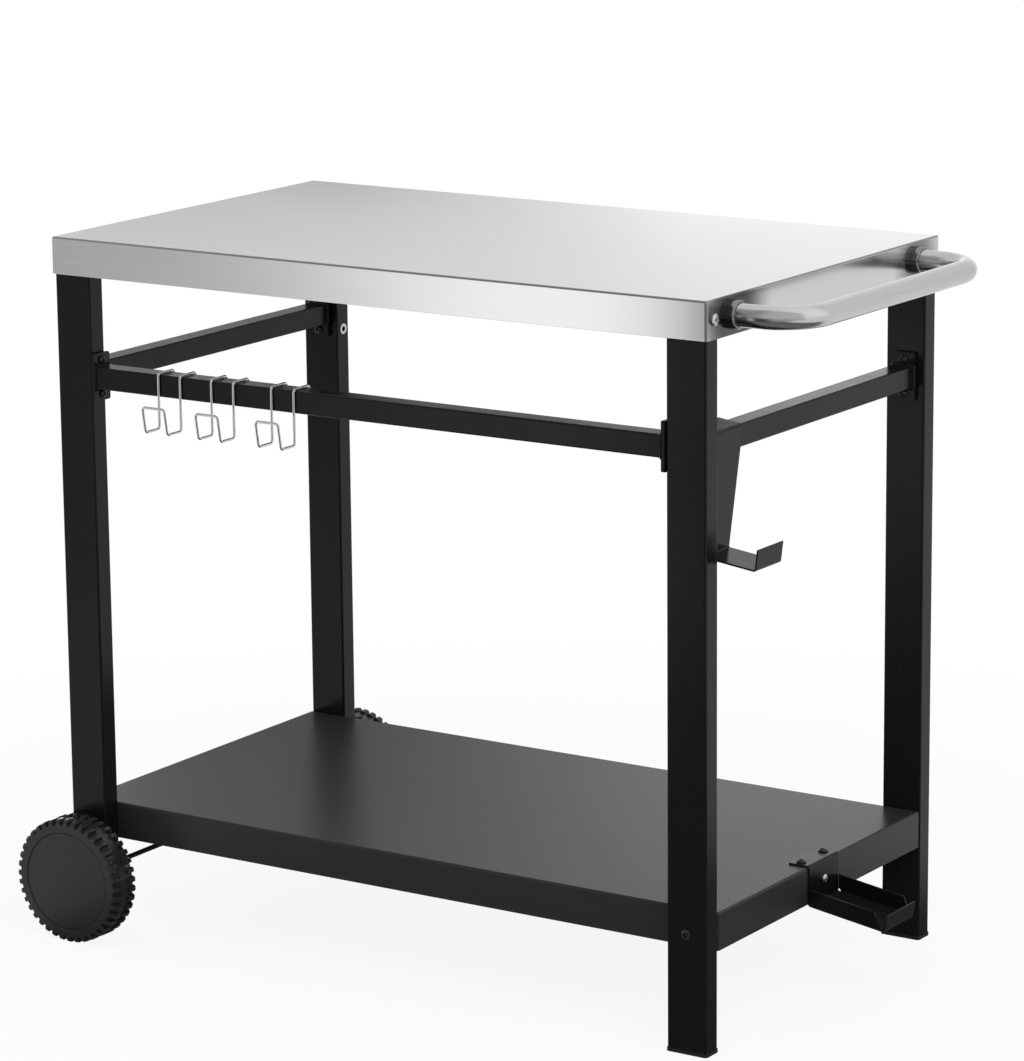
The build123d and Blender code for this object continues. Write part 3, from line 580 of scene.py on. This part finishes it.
def screwPart(seat, axis, look):
    # Rings from the crown outwards: height falls with a power of the radius, less the drive's recess;
    # then rim, under side, shank and tip.
    head, height, shank = look["head"] / 2, look["height"], look["shank"] / 2
    crown = head * np.r_[np.linspace(0.03, 0.66, 26), np.linspace(0.72, 0.97, 6), 0.99, 1.0]
    dome = height - headLook["domeFall"] * height * (crown / head) ** headLook["domePower"]
    tip = headLook["tipBevel"]
    radius = np.r_[crown, head, head - headLook["rimBevel"], shank, shank, shank - tip]
    level = np.r_[dome, headLook["rim"], 0.0, 0.0, -look["length"] + tip, -look["length"]]
    angle = np.linspace(0, 2 * pi, headLook["sides"], endpoint=False)
    x, y = radius[:, None] * np.cos(angle), radius[:, None] * np.sin(angle)
    depth = driveDepth(x, y, look["drive"], look["head"], height)
    depth[len(crown):] = 0
    axis = np.asarray(axis, float)
    side = np.array([0, 1.0, 0]) if abs(axis[1]) < 0.5 else np.array([1.0, 0, 0])
    above = np.cross(axis, side)
    points = (np.asarray(seat, float) + x[..., None] * side + y[..., None] * above
              + (level[:, None] - depth)[..., None] * axis)
    return gridPart(points, wrapColumns=True, caps=True)


def rivetNutPart(seat, axis):
    # A flange on the seat and a body behind it, turned about the axis and open through the bore.
    flange, body, bore = nutLook["flange"] / 2, nutLook["body"] / 2, nutLook["bore"] / 2
    height, length = nutLook["flangeHeight"], nutLook["bodyLength"]
    outline = roundCorners([(bore, height), (flange, height), (flange, 0), (body, 0), (body, -length),
                            (bore, -length)], [0.35, 0.4, 0.1, 0.1, 0.3, 0.2], 3, closed=True)
    return lathePart(outline, seat, axis, nutLook["sides"])


legs = {"front_left": (-1, -1), "front_right": (1, -1), "back_left": (-1, 1), "back_right": (1, 1)}
railZ = nodeMiddle("front_rail")[2]
plateLook = {"thick": 4.0, "screwSpacing": 38.0}
screwLevels = (-plateLook["screwSpacing"] / 2, plateLook["screwSpacing"] / 2)
boltZ = nodeMiddle("shelf_bolts")[2]
topScrews, shelfBolts = [], []
for leg, (sideX, sideY) in legs.items():
    low, high = nodeBox(leg + "_leg")
    middle = (low + high) / 2
    outerX, innerX = (high[0], low[0]) if sideX > 0 else (low[0], high[0])
    outerY, innerY = (high[1], low[1]) if sideY > 0 else (low[1], high[1])
    skirtX = topHigh[0] if sideX > 0 else topLow[0]
    topScrews.append(screwPart((skirtX, middle[1], topMiddle[2]), (sideX, 0, 0), screwLook["top"]))
    shelfBolts.append(screwPart((middle[0], outerY, boltZ), (0, sideY, 0), screwLook["shelf"]))
    nuts = [rivetNutPart((outerX, middle[1], topMiddle[2]), (sideX, 0, 0))]
    for level in screwLevels:
        nuts.append(rivetNutPart((innerX, middle[1], railZ + level), (-sideX, 0, 0)))
        nuts.append(rivetNutPart((middle[0], innerY, railZ + level), (0, -sideY, 0)))
    name = leg.split("_")[0] + leg.split("_")[1].title() + "RivetNuts"
    makePiece(name, nuts, zincPlate, "frame", [leg + "_rivet_nuts"])
makePiece("topScrews", topScrews, boltSteel, "frame", ["top_screws"])
makePiece("shelfBolts", shelfBolts, blackOxide, "frame", ["shelf_bolts"])

rails = ("front", "left", "right")


def railEnds(rail):
    # The middle of the inner face of each end plate, with the way from it along the rail.
    low, high = nodeBox(rail + "_rail")
    along = 0 if rail == "front" else 1
    ends = []
    for end in (-1, 1):
        inward = np.zeros(3)
        inward[along] = -end
        seat = (low + high) / 2
        seat[along] = (high if end > 0 else low)[along] + plateLook["thick"] * inward[along]
        ends.append((seat, inward))
    return ends


for rail in rails:
    screws = [screwPart(seat + [0, 0, level], inward, screwLook["rail"])
              for seat, inward in railEnds(rail) for level in screwLevels]
    makePiece(rail + "RailScrews", screws, blackOxide, "frame", [rail + "_rail_screws"])
print("screws and rivet nuts made")


# Weld beads between the rails and their end plates
weldLook = {"tube": 25.0, "tubeCorner": 2.0, "leg": 2.6, "ripple": 0.28, "pitch": 2.3, "stepsRound": 220}


def weldPart(face, inward):
    # Round the tube's outline goes a quarter-round bead whose size ripples with the weld's pitch,
    # and which ends under the faces of tube and plate.
    outline, outward = blockProfile(weldLook["tube"], weldLook["tube"], weldLook["tubeCorner"], steps=4)
    ring = np.vstack([outline, outline[:1]])
    way = np.r_[0, np.cumsum(np.linalg.norm(np.diff(ring, axis=0), axis=1))]
    at = np.linspace(0, way[-1], weldLook["stepsRound"], endpoint=False)
    spot = np.stack([np.interp(at, way, ring[:, k]) for k in (0, 1)], axis=1)
    normals = np.vstack([outward, outward[:1]])
    out = unit(np.stack([np.interp(at, way, normals[:, k]) for k in (0, 1)], axis=1))
    size = weldLook["leg"] + weldLook["ripple"] * np.sin(2 * pi * at / weldLook["pitch"])
    swing = np.linspace(0, pi / 2, 6)
    lift = np.r_[np.cos(swing), 0.0, -0.1, -0.1]
    rise = np.r_[np.sin(swing) - 0.02, 1.0, 0.4, -0.02]
    plane = spot[:, None] + (size[:, None] * lift)[..., None] * out[:, None]
    up = np.array([0, 0, 1.0])
    level = np.abs(np.cross(inward, up))
    return gridPart(face + plane[..., :1] * level + plane[..., 1:] * up
                    + (size[:, None] * rise)[..., None] * inward, wrapRows=True, wrapColumns=True)


welds = [weldPart(*end) for rail in rails for end in railEnds(rail)]
makePiece("railWelds", welds, powderBlack, "frame", crease=60)
print("rail welds made")


# Wheels and their caps
wheelLook = {"radius": 72.5, "width": 38.0, "shoulder": 13.0, "lugs": 40, "lugHeight": 3.0, "slot": 4.6,
             "faceDepth": 6.5, "faceRound": 4.5, "lugRound": 1.5, "riseMarks": (-0.04, 0.05, 0.20, 0.55, 1.0),
             "rimInner": 63.0, "capSeat": 57.0, "capLedge": 53.0, "pocket": 7.0, "web": 3.0, "cornerSteps": 5,
             "hub": 11.0, "bore": 3.05, "hubOverhang": 4.7, "ribs": 8, "ribThick": 2.5, "ribRecess": 8.0,
             "capRadius": 56.7, "capThick": 2.5, "capDome": 0.5, "capPole": 0.4, "capSides": 144}


def wheelParts(face, outDir):
    # A closed section turned about the axle, its tread cut into lugs, and straight ribs behind the web.
    look = wheelLook
    outer, tread, width = look["radius"], look["radius"] - look["lugHeight"], look["width"]
    ledgeY = width - look["capThick"]
    webOut = ledgeY - look["pocket"]
    webIn = webOut - look["web"]
    grooveIn, grooveOut = look["shoulder"], width - look["shoulder"]
    slotEnd = outer - look["faceDepth"] - 0.3
    # Radius, height and rounding of each corner, from the hub's inner end over the tread to the cap's pocket.
    section = np.array([
        (look["bore"], -look["hubOverhang"], 0.3), (look["hub"], -look["hubOverhang"], 0.8),
        (look["hub"], webIn, 1.5), (look["rimInner"], webIn, 1.5), (look["rimInner"], 0, 0.8),
        (slotEnd, 0.01, 0.0), (outer, 0, look["faceRound"]), (outer, grooveIn, 0.9), (tread, grooveIn, 0.9),
        (tread, grooveOut, 0.9), (outer, grooveOut, 0.9), (outer, width, look["faceRound"]),
        (slotEnd, width - 0.01, 0.0), (look["capSeat"], width, 0.7), (look["capSeat"], ledgeY, 0.3),
        (look["capLedge"], ledgeY, 0.4), (look["capLedge"], webOut, 0.8), (look["bore"], webOut, 0.3)])
    outline = roundCorners(section[:, :2], section[:, 2], look["cornerSteps"], closed=True)
    pitch = 2 * pi * outer / look["lugs"]
    near = look["slot"] / 2 + look["lugRound"] * np.array(look["riseMarks"])
    marks = np.r_[0, near, -near, pitch / 2, pitch / 2 - near, pitch / 2 + near]
    onePitch = np.unique(np.round(np.mod(marks, pitch), 4)) / outer
    angle = (np.arange(look["lugs"])[:, None] * 2 * pi / look["lugs"] + onePitch).ravel()

    def lugRadius(theta, radius, height):
        # A lug stands up in a quarter circle from the slot's edge; the outer row is half a pitch on.
        # The slot's floor falls from the tread to the face depth in a straight line across the shoulder.
        phase = np.where(height > width / 2, 0.5, 0.0)
        turns = theta * look["lugs"] / (2 * pi) - phase
        off = np.abs(turns - np.round(turns)) * pitch - look["slot"] / 2
        rise = np.sqrt(1 - (1 - np.clip(off / look["lugRound"], 0, 1)) ** 2)
        inShoulder = np.clip((np.abs(height - width / 2) - width / 2) / look["shoulder"] + 1, 0, 1)
        floor = tread - inShoulder * (look["faceDepth"] - look["lugHeight"])
        return np.where(radius > floor, floor + (radius - floor) * rise, radius)

    axis = np.array([0, outDir, 0.0])
    inFace = face - width * axis
    parts = [lathePart(outline, inFace, axis, angle, lugRadius)]
    reach = (look["hub"] + look["rimInner"]) / 2
    for turn in np.arange(look["ribs"]) * 2 * pi / look["ribs"]:
        spoke = np.array([cos(turn), 0, sin(turn)])
        path, inset = softEnds(inFace + reach * spoke + np.outer([look["ribRecess"], webIn + 0.5], axis), 0.5)
        profile, outward = blockProfile(look["rimInner"] - look["hub"] + 2, look["ribThick"], 0.6)
        parts.append(sweptPart(path, spoke, profile, outward, inset))
    return parts


def capParts(face, outDir):
    # A disc with a rounded rim, crowned by a shallow dome that falls with the square of the radius.
    edge, pole, back = wheelLook["capRadius"], wheelLook["capPole"], -wheelLook["capThick"]
    ring = np.linspace(pole, edge - 1.2, 24)
    crown = -wheelLook["capDome"] * (ring / edge) ** 2
    rim = roundCorners([(ring[-1], crown[-1]), (edge, crown[-1] - 0.02), (edge, back), (pole, back)], 0.7, 5)
    outline = np.vstack([np.stack([ring, crown], axis=1)[:-1], rim])
    points = turned(outline, face, (0, outDir, 0), wheelLook["capSides"])
    return [gridPart(points.transpose(1, 0, 2), wrapColumns=True, caps=True)]


for side, outDir in (("front", -1), ("back", 1)):
    low, high = nodeBox(side + "_wheel")
    face, body = (low + high) / 2, side + "_wheel"
    face[1] = low[1] if outDir < 0 else high[1]
    wheel, cap = wheelParts(face, outDir), capParts(face, outDir)
    makePiece(side + "Wheel", wheel, wheelPlastic, body, [body], crease=50)
    makePiece(side + "WheelCap", cap, wheelPlastic, body, [body + "_cap"])
print("wheels made")


# Wire hooks
hookLook = {"wire": 3.0, "bend": 4.0, "tail": 22.0, "drop": 62.0, "reach": 25.0, "rise": 29.0, "lean": 5.0,
            "gap": 0.3, "rail": 25.0, "sides": 20, "bendSteps": 8}


def hookPart(low, high):
    # One wire from tail to tail, over the rail twice, its corners rounded; the cut ends are slightly domed.
    look = hookLook
    wire = look["wire"] / 2
    stand = look["gap"] + wire
    railY, railTop = nodeMiddle("front_rail")[1], railZ + look["rail"] / 2
    backY, frontY = railY + look["rail"] / 2 + stand, railY - look["rail"] / 2 - stand
    top = railTop + stand
    side = [(backY, top - look["tail"]), (backY, top), (frontY, top), (frontY, top - look["drop"]),
            (frontY - look["reach"], top - look["drop"]),
            (frontY - look["reach"] - look["lean"], top - look["drop"] + look["rise"])]
    route = [(low[0] + wire, *p) for p in side] + [(high[0] - wire, *p) for p in reversed(side)]
    path, inset = softEnds(roundCorners(route, look["bend"], look["bendSteps"]), 0.6)
    profile, outward = circleProfile(wire, look["sides"])
    aslant = unit(np.array([1.0, 0.83, 0.61]))  # in line with no run of the wire
    return sweptPart(path, aslant, profile, outward, inset)


for place in ("left", "middle", "right"):
    node = place + "_hook"
    makePiece(place + "Hook", [hookPart(*nodeBox(node))], brightWire, node, [node])
print("wire hooks made")


# Tank hook
tankHookLook = {"sheet": 2.0, "width": 52.0, "tilt": 7.2, "flapDown": 18.0, "strap": 133.0, "floor": 63.0,
                "lip": 23.0, "bend": 2.5, "gap": 0.3, "rail": 25.0, "edge": 0.55, "bendSteps": 8}


def stripPart(route, look):
    # A flat strip folded along a route, level across: a thin block profile carried round rounded corners.
    path, inset = softEnds(roundCorners(route, look["bend"], look["bendSteps"]), look["edge"])
    profile, outward = blockProfile(look["width"], look["sheet"], look["edge"])
    return sweptPart(path, np.array([0, 1.0, 0]), profile, outward, inset)


look = tankHookLook
tilt = radians(look["tilt"])
railOuter = nodeMiddle("right_rail")[0] + look["rail"] / 2
strapOff = look["rail"] * tan(tilt) + look["gap"] / cos(tilt)
cornerX = railOuter + strapOff
cornerZ = railZ + look["rail"] / 2 + look["gap"] / cos(tilt) - strapOff * tan(tilt)
flap = (cornerX - railOuter + look["rail"]) / cos(tilt) + look["gap"]
half = look["sheet"] / 2
flapX, lipX, floorZ = -flap - half, half + look["floor"], -look["strap"]
flatRoute = np.array([(flapX, -look["flapDown"]), (flapX, half), (half, half), (half, floorZ), (lipX, floorZ),
                      (lipX, floorZ + look["lip"])])
hookY = nodeMiddle("tank_hook")[1]
tankRoute = (np.array([cornerX, hookY, cornerZ]) + flatRoute[:, :1] * [cos(tilt), 0, -sin(tilt)]
             + flatRoute[:, 1:] * [sin(tilt), 0, cos(tilt)])
makePiece("tankHook", [stripPart(tankRoute, look)], powderBlack, "tank_hook", ["tank_hook"])
print("tank hook made")


# Tank tray with its screws
trayLook = {"sheet": 2.0, "width": 65.0, "flange": 24.0, "drop": 43.0, "tilt": 8.6, "reach": 93.0,
            "lip": 18.0, "wall": 19.0, "wallGap": 0.1, "notch": 3.5, "endRelief": 4.0, "cornerRelief": 14.0,
            "bend": 2.5, "bendSteps": 8, "edge": 0.55,
            "screwSpacing": 48.0, "screwInset": 13.0, "tapDrop": 20.0}
look = trayLook
shelfEdge, shelfTop = nodeBox("lower_shelf")[1][[0, 2]]
armTilt = radians(look["tilt"])
run = look["reach"] + look["sheet"] / 2
armStart = np.array([shelfEdge + look["sheet"] / 2, 0, shelfTop - look["drop"]])
armWay, armUp = np.array([cos(armTilt), 0, -sin(armTilt)]), np.array([sin(armTilt), 0, cos(armTilt)])
flangeZ, armEnd = shelfTop + look["sheet"] / 2, armStart + run * armWay
trayRoute = [(shelfEdge - look["flange"], 0, flangeZ), (armStart[0], 0, flangeZ), armStart, armEnd,
             armEnd + look["lip"] * armUp]
trayParts = [stripPart(trayRoute, look)]
for side in (-1, 1):
    # The wall bends up out of the floor. Its inner end stands upright beside the plate above a corner notch,
    # its outer end leans in as its height grows.
    wallY = look["width"] / 2 + look["sheet"] / 2
    climb = roundCorners([(wallY - 3, 0), (wallY, 0), (wallY + 0.01, look["notch"]), (wallY, look["wall"])],
                         [2.0, 0.0], 6)
    stations, inset = softEnds(climb, look["edge"])
    share = np.clip(stations[:, 1] / look["wall"], 0, 1)
    upright = (look["sheet"] / 2 + look["wallGap"] - stations[:, 1] * sin(armTilt)) / cos(armTilt)
    first = upright + look["notch"] * np.clip(1 - stations[:, 1] / look["notch"], 0, 1)
    last = run - look["endRelief"] - share * (look["cornerRelief"] - look["endRelief"])
    place = armStart + ((first + last) / 2)[:, None] * armWay
    profile, outward = blockProfile(last - first, look["sheet"], look["edge"])
    flat = stations[:, :1] * [0, side * 1.0, 0] + stations[:, 1:] * armUp
    wall = carryProfile(flat, armWay, profile, outward, inset) + place[:, None]
    trayParts.append(gridPart(wall, wrapColumns=True, caps=True))
makePiece("tankTray", trayParts, powderBlack, "frame", ["tank_tray"])
seatX, seatZ = shelfEdge - look["screwInset"], shelfTop + look["sheet"]
trayScrews = [screwPart((seatX, side * look["screwSpacing"] / 2, seatZ), (0, 0, 1), screwLook["tray"])
              for side in (-1, 1)]
makePiece("trayScrews", trayScrews, blackOxide, "frame", ["tray_screws"])
tapScrew = screwPart((shelfEdge + look["sheet"], 0, shelfTop - look["tapDrop"]), (1, 0, 0), screwLook["tap"])
makePiece("trayTapScrew", [tapScrew], zincPlate, "frame", ["tray_tap_screw"])
print("tank tray made")


# Floor, light and camera
stageLook = {"size": 60.0, "tone": 0.86, "nearShare": 0.90, "clearNear": 0.6, "clearFar": 1.6,
             "reflected": 0.81, "darkLevel": 0.11, "darkMiddle": 0.45, "darkHalf": (1.00, 0.89),
             "darkY": (0.62, 0.22), "speckScale": 3.0, "speckTone": 0.02}
cardLook = {
    "backCard": {"y": 3.2, "from": (-7.0, -0.2), "to": (5.0, 6.0), "blendZ": (1.22, 1.38),
                 "low": [(-4.2, 4.5), (-3.42, 4.5), (-3.24, 0.06), (-2.5, 0.12), (-2.1, 0.66), (-1.7, 1.32),
                         (-1.0, 1.25), (0.6, 0.78)],
                 "high": [(-3.1, 0.74), (-2.0, 0.82), (-1.4, 0.92), (-1.0, 0.92), (0.6, 0.78)]},
    "frontCard": {"y": -1.6, "from": (-5.0, 0.0), "to": (5.0, 6.0), "blendZ": (0.62, 0.86),
                  "low": [(-1.60, 0.46), (-1.30, 0.52), (-1.10, 0.70), (-0.85, 1.10), (-0.65, 1.24),
                          (-0.49, 1.10), (-0.432, 0.80), (-0.387, 0.08), (-0.25, 0.05), (0.3, 0.05),
                          (0.8, 0.35), (2.5, 0.45)],
                  "high": [(-1.7, 0.55), (-1.2, 0.32), (-0.2, 0.32), (0.3, 0.55), (2.5, 0.60)]},
}
lightLook = {
    "keySoftbox": {"at": (2.4, -1.8, 3.0), "to": (0, 0, 0.5), "size": (2.2, 1.6), "watts": 60.0},
    "rightSoftbox": {"at": (2.4, 2.2, 0.9), "to": (0.2, 0, 0.5), "size": (1.4, 1.2), "watts": 14.0},
    "leftSoftbox": {"at": (-3.2, -1.4, 2.2), "to": (0, 0, 0.4), "size": (1.8, 1.8), "watts": 26.0},
}
worldLook = {"level": 0.58, "leftLevel": 0.75, "acrossX": (-0.75, 0.6)}
cameraLook = {"at": (2.6823, -4.0727, 1.5760), "lens": 151.12, "sensor": 36.0,
              "ahead": (-0.53695, 0.81439, -0.22013), "right": (0.83600, 0.54864, -0.00947)}


def seenByEye(tree):
    # What the camera, a reflection or a clear pane looks at, as against what only lights.
    path = addNode(tree, "LightPath")
    pair = reckon(tree, "ADD", path.outputs["Is Camera Ray"], path.outputs["Is Glossy Ray"])
    every = addNode(tree, "Math", {"operation": "ADD", "use_clamp": True}, i0=pair,
                    i1=path.outputs["Is Transmission Ray"])
    return every.outputs[0], path.outputs["Is Camera Ray"]


def greyOf(tree, value):
    return addNode(tree, "CombineColor", Red=value, Green=value, Blue=value).outputs[0]


def rampOver(tree, value, stops):
    # A level for each place along one axis, straight between the stops.
    first, last = stops[0][0], stops[-1][0]
    ramp = addNode(tree, "ValToRGB", Fac=spreadOver(tree, value, (first, last), (0.0, 1.0), "LINEAR"))
    points = ramp.color_ramp.elements
    while len(points) < len(stops):
        points.new(0.5)
    for point, (at, level) in zip(points, stops):
        point.position = (at - first) / (last - first)
        point.color = (level, level, level, 1)
    return ramp.outputs["Color"]


def stagePlane(name, corners, material):
    mesh = bpy.data.meshes.new(name)
    mesh.from_pydata(corners, [], [(0, 1, 2, 3)])
    mesh.materials.append(material)
    plane = bpy.data.objects.new(name, mesh)
    scene.collection.objects.link(plane)
    return plane


# The floor is pale and keeps a faint shadow near the object; further off it is the white of the background.
# Reflections see a dark mat on it in front of the object and to its right.
material, tree, shader = newFinish("paleFloor")
tree.nodes.remove(shader)
place = addNode(tree, "TexCoord").outputs["Object"]
away = addNode(tree, "VectorMath", {"operation": "LENGTH"}, i0=place).outputs["Value"]
clear = spreadOver(tree, away, (stageLook["clearNear"], stageLook["clearFar"]), (stageLook["nearShare"], 1.0))
speck = addNode(tree, "TexNoise", Vector=place, Scale=stageLook["speckScale"]).outputs["Fac"]
tones = [(stageLook["tone"] + more,) * 3 for more in (0, stageLook["speckTone"])]
diffuse = addNode(tree, "BsdfDiffuse", Color=mixColours(tree, speck, *tones))
every, byCamera = seenByEye(tree)
spot = addNode(tree, "SeparateXYZ", i0=place)
sideways = reckon(tree, "ABSOLUTE", reckon(tree, "SUBTRACT", spot.outputs["X"], stageLook["darkMiddle"]))
inDepth = spreadOver(tree, spot.outputs["Y"], stageLook["darkY"], (0.0, 1.0))
inWidth = spreadOver(tree, sideways, stageLook["darkHalf"], (0.0, 1.0))
dark = reckon(tree, "MULTIPLY", inDepth, inWidth)
mirrored = spreadOver(tree, dark, (0.0, 1.0), (stageLook["reflected"], stageLook["darkLevel"]))
level = reckon(tree, "MAXIMUM", byCamera, mirrored)
white = addNode(tree, "Emission", Color=greyOf(tree, level), Strength=1.0)
share = reckon(tree, "MULTIPLY", every, clear)
blend = addNode(tree, "MixShader", i0=share, i1=diffuse.outputs[0], i2=white.outputs[0])
tree.links.new(blend.outputs[0], tree.nodes["Material Output"].inputs["Surface"])
far = stageLook["size"] / 2
stagePlane("floor", [(-far, -far, 0), (far, -far, 0), (far, far, 0), (-far, far, 0)], material)

# Studio cards that only reflections see, graded from left to right and from low to high.
for name, look in cardLook.items():
    material, tree, shader = newFinish(name)
    tree.nodes.remove(shader)
    spot = addNode(tree, "SeparateXYZ", i0=addNode(tree, "TexCoord").outputs["Object"])
    rows = [rampOver(tree, spot.outputs["X"], look[row]) for row in ("low", "high")]
    upper = spreadOver(tree, spot.outputs["Z"], look["blendZ"], (0.0, 1.0))
    glow = addNode(tree, "Emission", Color=mixColours(tree, upper, *rows), Strength=1.0)
    tree.links.new(glow.outputs[0], tree.nodes["Material Output"].inputs["Surface"])
    (lowX, lowZ), (highX, highZ), cardY = look["from"], look["to"], look["y"]
    card = stagePlane(name, [(lowX, cardY, lowZ), (highX, cardY, lowZ), (highX, cardY, highZ),
                             (lowX, cardY, highZ)], material)
    card.visible_camera = card.visible_diffuse = card.visible_shadow = card.visible_transmission = False

# The room: white to the camera, even light on the object, a little dimmer on the left in reflections.
world = bpy.data.worlds.new("studio")
scene.world = world
world.use_nodes = True
tree = world.node_tree
tree.nodes.clear()
every, byCamera = seenByEye(tree)
sideways = addNode(tree, "SeparateXYZ", i0=addNode(tree, "TexCoord").outputs["Generated"]).outputs["X"]
bright = spreadOver(tree, sideways, worldLook["acrossX"], (worldLook["leftLevel"], 1.0))
level = reckon(tree, "MAXIMUM", bright, byCamera)
lit = addNode(tree, "Background", Color=(1, 1, 1, 1), Strength=worldLook["level"])
shown = addNode(tree, "Background", Color=greyOf(tree, level), Strength=1.0)
blend = addNode(tree, "MixShader", i0=every, i1=lit.outputs[0], i2=shown.outputs[0])
addNode(tree, "OutputWorld", Surface=blend.outputs[0])

for name, look in lightLook.items():
    lamp = bpy.data.lights.new(name, "AREA")
    lamp.shape = "RECTANGLE"
    lamp.size, lamp.size_y = look["size"]
    lamp.energy = look["watts"]
    holder = bpy.data.objects.new(name, lamp)
    holder.location = look["at"]
    holder.rotation_mode = "QUATERNION"
    holder.rotation_quaternion = (Vector(look["to"]) - Vector(look["at"])).to_track_quat("-Z", "Y")
    holder.visible_camera = holder.visible_glossy = False  # reflections see the cards instead
    scene.collection.objects.link(holder)

eye = bpy.data.cameras.new("photoCamera")
eye.lens = cameraLook["lens"]
eye.sensor_width = cameraLook["sensor"]
camera = bpy.data.objects.new("photoCamera", eye)
ahead, right = Vector(cameraLook["ahead"]).normalized(), Vector(cameraLook["right"]).normalized()
above = right.cross(ahead)
turn = Matrix((right, above, -ahead)).transposed().to_4x4()
camera.matrix_world = Matrix.Translation(cameraLook["at"]) @ turn
scene.collection.objects.link(camera)
scene.camera = camera
print("stage, light and camera set")
